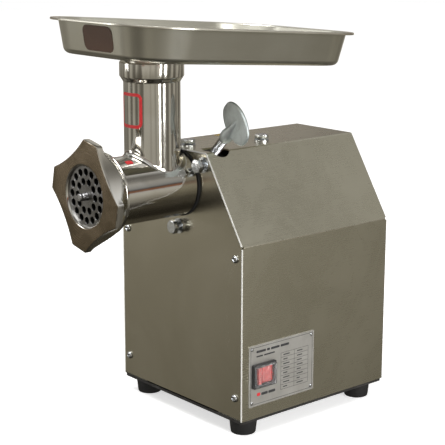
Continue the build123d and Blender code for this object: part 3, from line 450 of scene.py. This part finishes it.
def addPiece(name, build, body, mats, replaced=None, sharp=32, weighted=True):
    shape = bmesh.new()
    build(shape)
    bmesh.ops.remove_doubles(shape, verts=shape.verts, dist=0.003 * mm)
    bmesh.ops.recalc_face_normals(shape, faces=shape.faces)
    mesh = bpy.data.meshes.new(name + "Mesh")
    shape.to_mesh(mesh)
    shape.free()
    return finishPiece(name, mesh, body, mats, replaced, sharp, weighted)


def joinRows(shape, rows, closed=False, capped=False):
    # loops of points with equal counts become a skin of quads
    made = [[shape.verts.new(point) for point in row] for row in rows]
    count = len(made[0])
    pairs = list(zip(made, made[1:]))
    if closed:
        pairs.append((made[-1], made[0]))
    for a, b in pairs:
        for i in range(count):
            j = (i + 1) % count
            shape.faces.new((a[i], a[j], b[j], b[i]))
    if capped:
        shape.faces.new(made[0])
        shape.faces.new(made[-1])


def turnAboutHead(radiusAt, y, count=360):
    points = []
    for i in range(count):
        angle = 2 * pi * i / count
        radius = radiusAt(angle)
        points.append(Vector((radius * cos(angle), y, headZ + radius * sin(angle))))
    return points


ringLook = {
    "turn": -12.0, "lobe": 57.0, "waist": 44.0, "flat": 55.9, "tipHalfAngle": 11.5, "edge": 1.0,
    "mouth": 30.2, "thread": 38.1, "lipDepth": 4.2, "rimDepth": 6.4, "coneWide": 54.0, "coneNarrow": 41.5,
    "coneCurve": 0.8, "coneSteps": 10,
}


def ringOutline(angle):
    # radius of the four-lobed star, in millimetres
    look = ringLook
    a = angle - radians(look["turn"])
    flat = look["flat"] / max(abs(cos(a)), abs(sin(a)))
    corner = radians(45 - look["tipHalfAngle"])
    centre = (look["lobe"] ** 2 - look["waist"] ** 2) / (2 * (look["lobe"] * cos(corner) - look["waist"]))
    hollow = centre - look["waist"]
    side = (a + pi / 4) % (pi / 2) - pi / 4
    off = pi / 4 - abs(side)
    inside = hollow ** 2 - (centre * sin(off)) ** 2
    valley = centre * cos(off) - inside ** 0.5 if inside > 0 else 1e3
    return min(flat, valley, look["lobe"])


def ringBuild(shape):
    look = ringLook
    low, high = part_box("ring_nut")
    front, back = low.y, high.y
    edge, mouth, thread = look["edge"], look["mouth"], look["thread"]

    def lobed(cap=99, inset=0.0):
        return lambda angle: (min(ringOutline(angle), cap) - inset) * mm

    def plain(radius):
        return lambda angle: radius * mm

    # millimetres behind the front, and the outline there: the lip, the face, then the lobed rim
    fromFront = [
        (look["lipDepth"], plain(thread)), (look["lipDepth"], plain(mouth)), (1.6, plain(mouth)),
        (0.5, plain(mouth + 1.1)), (0.1, plain(mouth + 1.9)), (0.0, plain(mouth + 2.6)), (0.0, plain(40.0)),
        (0.0, lobed(inset=edge * 1.3)), (0.14 * edge, lobed(inset=edge * 0.6)),
        (0.5 * edge, lobed(inset=edge * 0.16)), (edge, lobed()), (3.8, lobed()), (look["rimDepth"], lobed()),
        (7.0, lobed(56.5)),
    ]
    rows = [(back, plain(thread))] + [(front + depth * mm, outline) for depth, outline in fromFront]
    coneFront, coneBack = front + 7.4 * mm, back - 3.2 * mm
    wide, narrow, steps = look["coneWide"], look["coneNarrow"], look["coneSteps"]
    for i in range(steps + 1):
        t = i / steps
        cap = wide + (narrow - wide) * t ** look["coneCurve"]
        rows.append((coneFront + (coneBack - coneFront) * t, lobed(cap)))
    # the round collar: millimetres before the back, and its radius
    collar = [(2.6, 40.9), (1.9, 41.3), (0.6, 41.3), (0.0, 40.6)]
    rows += [(back - depth * mm, plain(radius)) for depth, radius in collar]
    joinRows(shape, [turnAboutHead(outline, y) for y, outline in rows], closed=True)


# a pressed pan with a rolled lip and a spigot
trayLook = {
    "tilt": 4.2, "halfWidth": 101.0, "front": 84.0, "back": 219.0, "corner": 62.0, "height": 35.0,
    "lip": 7.5, "draft": 8.0, "sheet": 1.2, "bend": 7.0, "bendSteps": 6, "roll": 1.5, "spigot": 24.8,
    "spigotLength": 16.0, "floorRing": 38,
}
traySeat = Matrix.Translation(throat["pos_m"]) @ Matrix.Rotation(-radians(trayLook["tilt"]), 4, "X")


def roundedLoop(halfX, lowY, highY, corner, z, arc=18, side=9, end=7):
    # counter-clockwise points of a rounded rectangle, always the same number of them
    left, right = corner - halfX, halfX - corner
    lower, upper = lowY + corner, highY - corner
    centres = [(right, lower, -90), (right, upper, 0), (left, upper, 90), (left, lower, 180)]

    def onArc(centre, degrees):
        x, y = centre[:2]
        a = radians(degrees)
        return Vector((x + corner * cos(a), y + corner * sin(a), z))

    points = []
    for k, centre in enumerate(centres):
        points += [onArc(centre, centre[2] + 90 * i / arc) for i in range(arc + 1)]
        following = centres[(k + 1) % 4]
        target = onArc(following, following[2])
        here = points[-1]
        steps = side if k % 2 == 0 else end
        points += [here.lerp(target, i / (steps + 1)) for i in range(1, steps + 1)]
    return points


def trayRows():
    t = trayLook
    sheet, height, lip, roll, spigot = t["sheet"], t["height"], t["lip"], t["roll"], t["spigot"]
    wall, under, inner, bore = lip + t["draft"], height - sheet, lip + sheet, spigot - sheet

    def loop(inset, z):
        corner = t["corner"] - inset
        return roundedLoop(t["halfWidth"] - inset, -t["front"] + inset, t["back"] - inset, corner, z)

    def circle(radius, z):
        directions = [Vector((point.x, point.y, 0)).normalized() for point in loop(wall, 0)]
        return [Vector((radius * point.x, radius * point.y, z)) for point in directions]

    def bendRows(radius, inset, lift):
        # from the floor into the wall, about a centre radius above the floor
        reach = pi / 2 - atan2(t["draft"], height)
        shift = radius * tan(reach / 2)
        rows = []
        for i in range(t["bendSteps"] + 1):
            a = reach * i / t["bendSteps"]
            rows.append(loop(inset + shift - radius * sin(a), lift + radius * (1 - cos(a))))
        return rows

    # radius and height up the spigot, inset and height round the lip
    spigotOutside = [(spigot, -t["spigotLength"]), (spigot, -1.2), (spigot + 0.35, -0.35), (spigot + 1.2, 0)]
    lipRows = [
        (lip + 0.9, under - 1.2), (lip + 0.1, under - 0.2), (lip - 0.9, under), (roll + 1.2, under),
        (roll + 0.6, under - 0.5), (roll + 0.5, height - 2.4), (0.5, height - 2.4), (0.12, height - 2.2),
        (0, height - 1.8), (0.0, height - 0.9), (0.25, height - 0.3), (0.9, height), (1.6, height),
        (inner - 1.4, height), (inner - 0.5, height - 0.25), (inner + 0.35, height - 1.4),
    ]
    spigotInside = [(bore + 1.0, sheet), (bore + 0.3, sheet - 0.3), (bore, sheet - 1.0)]
    spigotInside.append((bore, -t["spigotLength"]))
    rows = [circle(radius, z) for radius, z in spigotOutside + [(t["floorRing"], 0)]]
    rows += bendRows(t["bend"], wall, 0)
    rows += [loop(inset, z) for inset, z in lipRows]
    rows += reversed(bendRows(t["bend"] - sheet, wall + sheet, sheet))
    rows += [circle(radius, z) for radius, z in [(t["floorRing"], sheet)] + spigotInside]
    return rows


def trayBuild(shape):
    joinRows(shape, [[traySeat @ (point * mm) for point in row] for row in trayRows()], closed=True)


def onTurn(radius, angle, z):
    return Vector((radius * cos(angle) * mm, radius * sin(angle) * mm, z * mm))


def spinProfile(shape, profile, place, steps):
    # profile: (radius, height) in millimetres about the local Z axis of place
    angles = [2 * pi * i / steps for i in range(steps)]
    rows = [[place @ onTurn(radius, angle, z) for angle in angles] for radius, z in profile]
    joinRows(shape, rows, capped=True)


# cast leaf, ball hub and threaded shaft; middle is the leaf's distance out along the shaft
wingLook = {
    "middle": 94.0, "halfSpan": 24.5, "halfHeight": 15.5, "thick": 4.0, "turn": -5.0, "squeeze": 0.16,
    "fullness": 0.66, "shaftRadius": 5.0, "threadDepth": 0.75, "pitch": 1.5, "threadFrom": 25.9,
    "threadEnd": 25.0,
    "hub": [
        (4.4, -26.5), (5.6, -25.6), (6.5, -23.4), (6.9, -20.5), (6.9, -17.5), (6.2, -14.2), (5.0, -10.5),
        (4.0, -6.0), (3.3, -1.0), (2.4, 2.5), (0.8, 4.2),
    ],
}


def clampFrame():
    axis = Vector(clampJoint["axis"]).normalized()
    side = Vector((0, 1, 0))
    turned = Matrix((side.cross(axis), side, axis)).transposed().to_4x4()
    return Matrix.Translation(clampJoint["pos_m"]) @ turned


def leafOutline(count=72):
    look = wingLook
    points = []
    for i in range(count):
        a = 2 * pi * i / count
        squeeze = 1 - look["squeeze"] * abs(sin(a)) ** 2
        sign = 1 if cos(a) > 0 else -1
        wide = look["halfHeight"] * (abs(cos(a)) ** look["fullness"]) * sign * squeeze
        points.append((wide, look["halfSpan"] * sin(a)))
    return points


def wingBuild(shape):
    look = wingLook
    place = clampFrame()
    outward = Matrix.Translation((0, 0, look["middle"] * mm))
    leaf = place @ outward @ Matrix.Rotation(radians(look["turn"]), 4, "Z")
    half = look["thick"] / 2
    # place across the thickness, and how much of the outline is reached there
    sections = [(-1, 0.80), (-1, 0.93), (-0.6, 0.985), (0, 1.0), (0.6, 0.985), (1, 0.93), (1, 0.80)]
    outline = leafOutline()
    rows = []
    for share, reach in sections:
        offset = share * half * mm
        rows.append([leaf @ Vector((span * reach * mm, offset, wide * reach * mm)) for wide, span in outline])
    joinRows(shape, rows, capped=True)
    spinProfile(shape, [(radius, look["middle"] + z) for radius, z in look["hub"]], place, 48)


def threadBuild(shape):
    # one long helix, four points across each thread, wound round a core
    look = wingLook
    place = clampFrame()
    start, stop = look["threadFrom"], look["middle"] - look["threadEnd"]
    crest, root = look["shaftRadius"], look["shaftRadius"] - look["threadDepth"]
    section = [(root, 0.0), (crest, 0.35), (crest, 0.65), (root, 1.0)]
    steps, pitch = 40, look["pitch"]
    turns = int((stop - start) / pitch)
    made = []
    for i in range(turns * steps + 1):
        angle = 2 * pi * i / steps
        z = start + pitch * i / steps
        points = [place @ onTurn(radius, angle, z + share * pitch) for radius, share in section]
        made.append([shape.verts.new(point) for point in points])
    for a, b in zip(made, made[1:]):
        for k in range(3):
            shape.faces.new((a[k], a[k + 1], b[k + 1], b[k]))
    core = [(root - 0.2, start), (root, start), (root, stop + 1.5), (root - 0.2, stop + 1.5)]
    spinProfile(shape, core, place, steps)


gasketLook = {"inner": 26.2, "outer": 35.2, "setBack": 0.5}


def gasketBuild(shape):
    look = gasketLook
    low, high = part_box("gasket_ring")
    inner, outer, front, back = look["inner"], look["outer"], low.y + look["setBack"] * mm, high.y
    profile = [
        (inner, front), (outer - 0.4, front), (outer - 0.1, front + 0.15 * mm), (outer, front + 0.5 * mm),
        (outer, back - 0.2 * mm), (outer - 0.3, back), (inner, back),
    ]
    rows = [turnAboutHead(lambda angle, radius=radius: radius * mm, y, 120) for radius, y in profile]
    joinRows(shape, rows, closed=True)


# a rounded frame wrapped on the feed tube; sizes in millimetres, the centre's height and y in metres
tubeLabelLook = {
    "halfWide": 15.5, "halfTall": 17.5, "corner": 6.0, "band": 3.2, "azimuth": 2.0, "radius": 28.7,
    "height": 0.335, "tubeY": -0.082, "under": 0.02, "over": 0.12,
}


def tubeLabelBuild(shape):
    look = tubeLabelLook
    wide, tall, band, corner = look["halfWide"], look["halfTall"], look["band"], look["corner"]
    outer = roundedLoop(wide, -tall, tall, corner, 0)
    inner = roundedLoop(wide - band, -tall + band, tall - band, corner - band, 0)

    def wrap(point, lift):
        a = radians(look["azimuth"]) + point.x / look["radius"]
        radius = (look["radius"] + lift) * mm
        return Vector((radius * sin(a), look["tubeY"] - radius * cos(a), look["height"] + point.y * mm))

    under, over = look["under"], look["over"]
    rows = [(outer, under), (outer, over), (inner, over), (inner, under)]
    joinRows(shape, [[wrap(point, lift) for point in loop] for loop, lift in rows], closed=True)


def patch(middle, across, up, look):
    # a small film lying on a surface; nibble makes its outline uneven
    def build(shape):
        wide, tall, nibble = look["wide"], look["tall"], look["nibble"]
        loop = roundedLoop(wide / 2, -tall / 2, tall / 2, min(wide, tall) * 0.28, 0, 5, 3, 3)
        points = []
        for i, point in enumerate(loop):
            rough = 1 + nibble * sin(i * 2.4) * 0.5 + nibble * sin(i * 5.1 + 1) * 0.5
            points.append(Vector((point.x * rough, point.y * rough, 0)))
        normal = across.cross(up)
        rows = []
        for lift in (0.02, look["lift"]):
            rows.append([middle + (across * p.x + up * p.y + normal * lift) * mm for p in points])
        joinRows(shape, rows, capped=True)
    return build


nameLow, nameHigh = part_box("nameplate")


def printBars(bars):
    # bars: (y, z, length, thickness) from the plate's lower front corner, in millimetres
    def build(shape):
        for y, z, length, thick in bars:
            middle = y + length / 2
            loop = roundedLoop(length / 2, -thick / 2, thick / 2, min(length, thick) * 0.3, 0, 2, 1, 1)
            rows = []
            for lift in (0.005, 0.05):
                x = nameHigh.x + lift * mm
                places = [(nameLow.y + (middle + p.x) * mm, nameLow.z + (z + p.y) * mm) for p in loop]
                rows.append([Vector((x, across, up)) for across, up in places])
            joinRows(shape, rows, capped=True)
    return build


# rows of holes: distance from the axis, how many, radius
plateLook = {"rows": ((24.2, 16, 3.55), (14.8, 10, 3.45)), "radius": 35.0, "centre": 4.1, "chamfer": 0.35}


def plateBuild(shape):
    # a disc whose holes are cut as loops and filled between, front and back, then joined by walls
    look = plateLook
    chamfer = look["chamfer"]

    def loop(cx, cz, radius, y, count):
        made = []
        for i in range(count):
            a = 2 * pi * i / count
            made.append(shape.verts.new((cx + radius * cos(a) * mm, y, headZ + cz + radius * sin(a) * mm)))
        return made

    def band(first, second):
        for i in range(len(first)):
            j = (i + 1) % len(first)
            shape.faces.new((first[i], first[j], second[j], second[i]))

    circles = [(0, 0, look["radius"], 144, -chamfer), (0, 0, look["centre"], 40, chamfer)]
    for rowRadius, count, holeRadius in look["rows"]:
        for i in range(count):
            a = 2 * pi * i / count
            circles.append((rowRadius * cos(a) * mm, rowRadius * sin(a) * mm, holeRadius, 28, chamfer))
    walls = {}
    for y, side in ((plateLow.y, -1), (plateHigh.y, 1)):
        edges = []
        for cx, cz, radius, count, grow in circles:
            ring = loop(cx, cz, radius + grow, y, count)
            wall = loop(cx, cz, radius, y - side * chamfer * mm, count)
            band(ring, wall)
            edges += [shape.edges.get((ring[i], ring[(i + 1) % count])) for i in range(count)]
            walls.setdefault((cx, cz, radius), []).append(wall)
        bmesh.ops.triangle_fill(shape, edges=edges, use_beauty=True, use_dissolve=False)
    for first, second in walls.values():
        band(first, second)


# rounding of the edges in millimetres, and the finish
cadPieces = {
    "front_panel": (0.3, panelFrontShaded),
    "housing_wrap": (0.35, panelSide),
    "back_panel": (0.3, panelFrontShaded),
    "base_plate": (0.4, blackPaint),
    "head_body": (0, polishedSteel),
    "auger_pin": (0, machineSteel),
    "feet": (0, rubberBlack),
    "flange_bolts": (0, zincBright),
    "top_bolts": (0, zincBright),
    "flange_washers": (0, zincBright),
    "top_washers": (0, zincBright),
    "front_panel_screws": (0, zincBright),
    "back_panel_screws": (0, zincBright),
    "nameplate_rivets": (0, zincBright),
    "switch_body": (0.35, nylonBlack),
    "switch_rocker": (0.3, redLens),
    "switch_cover": (0, clearBoot),
}
for node, (edge, finish) in cadPieces.items():
    softened(node, edge, finish)
print("sheet parts and fasteners finished")

ringMats = [ringFace, polishedSteel]
ringNut = addPiece("RingNut", ringBuild, "ring_nut", ringMats, "ring_nut", sharp=28)
ringBack = ringNut.data.vertices[0].co.y
for face in ringNut.data.polygons:
    turned = face.normal.y < -0.9 and face.center.y < ringBack
    face.material_index = 0 if turned else 1
addPiece("CuttingPlate", plateBuild, "plate", [groundPlate], "plate", sharp=30)
addPiece("FeedTray", trayBuild, "tray", [traySteel], "tray", sharp=40)
addPiece("WingLeaf", wingBuild, "wing_screw", [zincDull], "wing_screw", sharp=40)
addPiece("WingThread", threadBuild, "wing_screw", [zincBright], sharp=25, weighted=False)
addPiece("HeadGasket", gasketBuild, "cabinet", [rubberBlack], "gasket_ring")
addPiece("TubeLabel", tubeLabelBuild, "head", [inkRed])
print("head, ring, tray and wing built")

# the nameplate's blank bars, each (y, z, length, thickness), and the ruled table
printLook = {
    "frame": [
        (2.2, 2.4, 87.1, 0.45), (2.2, 63.2, 87.1, 0.45), (2.2, 32.8, 0.45, 61.2), (88.8, 32.8, 0.45, 61.2),
    ],
    "heading": [
        (10.0, 58.2, 13.0, 2.5), (24.4, 58.2, 4.2, 2.5), (30.0, 58.2, 12.0, 2.5), (43.4, 58.2, 12.0, 2.5),
        (10.0, 53.2, 9.0, 1.5), (20.4, 53.2, 15.0, 1.5),
    ],
    "foot": [(17.0, 11.8, 9.0, 2.9), (27.0, 11.8, 9.5, 2.9)],
    "mark": [(11.0, 12.2, 4.6, 3.4)],
}
tableLook = {"low": 10.0, "step": 5.0, "rows": 9, "columns": (44.0, 63.0, 83.0), "line": 0.32, "entry": 1.1}


def tableBars():
    look = tableLook
    left, middle, right = look["columns"]
    step, line, entry = look["step"], look["line"], look["entry"]
    tall = (look["rows"] - 1) * step
    bars = []
    for row in range(look["rows"]):
        z = look["low"] + row * step
        bars.append((left, z, right - left, line))
        if row < look["rows"] - 1:
            bars.append((left + 3.5, z + step / 2, 6.0 + 3.5 * abs(sin(row * 2.1)), entry))
            bars.append((middle + 4.0, z + step / 2, 4.0 + 5.0 * abs(cos(row * 1.7)), entry))
    return bars + [(y, look["low"] + tall / 2, line, tall) for y in look["columns"]]


allBars = printLook["frame"] + printLook["heading"] + tableBars() + printLook["foot"]
addPiece("NameplatePrint", printBars(allBars), "cabinet", [inkBlack])
addPiece("NameplateMark", printBars(printLook["mark"]), "cabinet", [inkRed])

# films: where each lies and its size, in millimetres
trayLabelLook = {"x": 9.5, "z": 18.5, "wide": 48, "tall": 25, "nibble": 0.0, "lift": 0.12}
barrelMarkLook = {
    "angle": 26, "radius": 34.5, "y": -122.5, "wide": 8, "tall": 5, "nibble": 0.16, "lift": 0.25,
}
topDotLook = {"x": -36, "behind": 85, "wide": 7, "tall": 10, "nibble": 0.06, "lift": 0.12}
rightward, rearward = Vector((1, 0, 0)), Vector((0, 1, 0))


def onTrayFront(x, z):
    # a point on the outside of the tray's front wall, with the wall's own up direction
    t = trayLook
    y = -t["front"] + (t["lip"] + t["draft"]) - t["draft"] * z / t["height"]
    up = (traySeat.to_3x3() @ Vector((0, -t["draft"], t["height"]))).normalized()
    return traySeat @ Vector((x * mm, y * mm, z * mm)), up


labelAt, labelUp = onTrayFront(trayLabelLook["x"], trayLabelLook["z"])
trayLabel = patch(labelAt, rightward, labelUp, trayLabelLook)
addPiece("TrayLabel", trayLabel, "tray", [inkBrown])

markAngle, markRadius = radians(barrelMarkLook["angle"]), barrelMarkLook["radius"] * mm
markHeight = headZ + markRadius * cos(markAngle)
markAt = Vector((markRadius * sin(markAngle), barrelMarkLook["y"] * mm, markHeight))
markUp = Vector((-cos(markAngle), 0, sin(markAngle)))
barrelMark = patch(markAt, rearward, markUp, barrelMarkLook)
addPiece("BarrelMark", barrelMark, "head", [inkRed])

dotAt = Vector((topDotLook["x"] * mm, wrapLow.y + topDotLook["behind"] * mm, wrapHigh.z))
topDot = patch(dotAt, rightward, rearward, topDotLook)
addPiece("TopDot", topDot, "cabinet", [inkYellow])
print("labels laid on")

# the finish of every CAD part that is carried over
bySlot = {
    "cabinet_steel": panelSide, "polished_steel": polishedSteel, "tray_steel": traySteel,
    "ring_steel": ringFace, "plate_steel": groundPlate, "zinc_steel": zincBright, "wing_zinc": zincDull,
    "base_paint": blackPaint, "rubber": rubberBlack, "nameplate_print": plateFoil,
    "black_plastic": nylonBlack, "red_plastic": redLens, "clear_plastic": clearBoot,
    "cast_aluminium": castMetal, "machine_steel": machineSteel, "laminations": laminations,
    "copper": copperWire, "bronze": bronzeBush, "grey_plastic": greyShell,
}
for node, cadPart in nodes.items():
    mats = cadPart.data.materials
    finish = bySlot[nodeSlot[node]]
    if len(mats):
        for index in range(len(mats)):
            mats[index] = finish
    else:
        mats.append(finish)

cameraLook = {
    "at": (1.0220, -0.8621, 0.5124), "azimuth": 49.48, "elevation": 12.96, "roll": 0.13, "lens": 103.98,
    "sensor": 36,
}
machineMiddle, tubeMiddle = (0, 0, 0.22), (0, -0.08, 0.33)
softboxes = {
    "TopSoftbox": {"at": (0.1, -0.6, 1.7), "aim": machineMiddle, "size": (1.3, 0.7), "power": 26},
    "LeftSoftbox": {"at": (-1.4, -1.5, 0.7), "aim": machineMiddle, "size": (0.5, 1.1), "power": 5.5},
    "SideSoftbox": {"at": (1.9, 0.45, 0.86), "aim": machineMiddle, "size": (0.6, 0.35), "power": 9},
    "NarrowStrip": {"at": (2.1, -0.30, 0.55), "aim": tubeMiddle, "size": (0.10, 1.3), "power": 9},
    "WideStrip": {"at": (2.0, 0.35, 0.60), "aim": tubeMiddle, "size": (0.22, 1.2), "power": 9},
}
# the room seen in the steel, from below to above: position and colour
roomLook = {
    "bands": [
        (0.0, (0.05, 0.047, 0.04)), (0.22, (0.14, 0.13, 0.11)), (0.36, (0.31, 0.29, 0.24)),
        (0.46, (0.50, 0.475, 0.41)), (0.505, (0.52, 0.50, 0.45)), (0.520, (0.24, 0.10, 0.05)),
        (0.548, (0.30, 0.13, 0.07)), (0.562, (0.07, 0.065, 0.06)), (0.60, (0.36, 0.355, 0.34)),
        (0.70, (0.62, 0.60, 0.55)), (0.80, (0.40, 0.39, 0.36)), (0.90, (0.85, 0.85, 0.84)),
        (1.0, (1.3, 1.3, 1.3)),
    ],
    "furniture": (0.34, 0.33, 0.32), "spacing": 3.1, "floorGlow": 0.62, "floorSize": 6.0,
}


def backdropBuild(s):
    paper = s.noise(6.0, 2, 0.5)
    return {
        "Base Color": s.blend(paper, (0.80, 0.80, 0.80), (0.84, 0.84, 0.84)),
        "Roughness": 0.8 + paper * 0.1,
        "Emission Color": s.blend(paper, (0.99, 0.99, 0.99), (1.0, 1.0, 1.0)),
    }


def studioFloor():
    floor = bmesh.new()
    bmesh.ops.create_grid(floor, x_segments=2, y_segments=2, size=roomLook["floorSize"])
    mesh = bpy.data.meshes.new("StudioFloorMesh")
    floor.to_mesh(mesh)
    floor.free()
    piece = bpy.data.objects.new("StudioFloor", mesh)
    bpy.context.scene.collection.objects.link(piece)
    mesh.materials.append(material("PaleFloor", backdropBuild, Emission_Strength=roomLook["floorGlow"]))
    piece.visible_glossy = False


def studioWorld():
    world = bpy.data.worlds.new("Studio")
    bpy.context.scene.world = world
    world.use_nodes = True
    s = Shade(world.node_tree)
    out = world.node_tree.nodes["World Output"]
    where = s.add("TexCoord", out=0)
    height = s.add("SeparateXYZ", None, {0: where}, out=2)
    room = s.add("ValToRGB", {"stops": roomLook["bands"]}, {0: height * 0.5 + 0.5})
    # tall dark furniture and pale walls round the room
    upright = s.add("Mapping", None, {"Vector": where, "Scale": (1, 1, 0.22)})
    walls = s.between(s.noise(roomLook["spacing"], 1, 0.4, upright), 0.40, 0.60)
    dark = s.blend(1.0, room, roomLook["furniture"], "MULTIPLY")
    seen = s.add("LightPath", out=0)
    roomLight = s.add("Background", None, {"Color": s.blend(walls, dark, room), "Strength": 1.0})
    plain = s.add("Background", None, {"Color": (1, 1, 1), "Strength": 1.0})
    s.feed(out.inputs["Surface"], s.add("MixShader", None, {0: seen, 1: roomLight, 2: plain}))


def softbox(name, look):
    light = bpy.data.lights.new(name, "AREA")
    light.shape = "RECTANGLE"
    light.size, light.size_y = look["size"]
    light.energy = look["power"]
    lamp = bpy.data.objects.new(name, light)
    bpy.context.scene.collection.objects.link(lamp)
    lamp.location = look["at"]
    lamp.rotation_euler = (Vector(look["aim"]) - Vector(look["at"])).to_track_quat("-Z", "Y").to_euler()


def studioCamera():
    look = cameraLook
    az, el = radians(look["azimuth"]), radians(look["elevation"])
    back = Vector((sin(az) * cos(el), -cos(az) * cos(el), sin(el)))
    right = Vector((0, 0, 1)).cross(back).normalized()
    turn = Matrix((right, back.cross(right), back)).transposed()
    turn = turn @ Matrix.Rotation(radians(look["roll"]), 3, "Z")
    lens = bpy.data.cameras.new("ProductCamera")
    lens.lens = look["lens"]
    lens.sensor_width = look["sensor"]
    camera = bpy.data.objects.new("ProductCamera", lens)
    camera.matrix_world = Matrix.Translation(look["at"]) @ turn.to_4x4()
    bpy.context.scene.collection.objects.link(camera)
    bpy.context.scene.camera = camera


studioFloor()
studioWorld()
for name, look in softboxes.items():
    softbox(name, look)
studioCamera()
bpy.context.scene.view_settings.view_transform = "Standard"
print("studio ready")

bpy.context.view_layer.update()
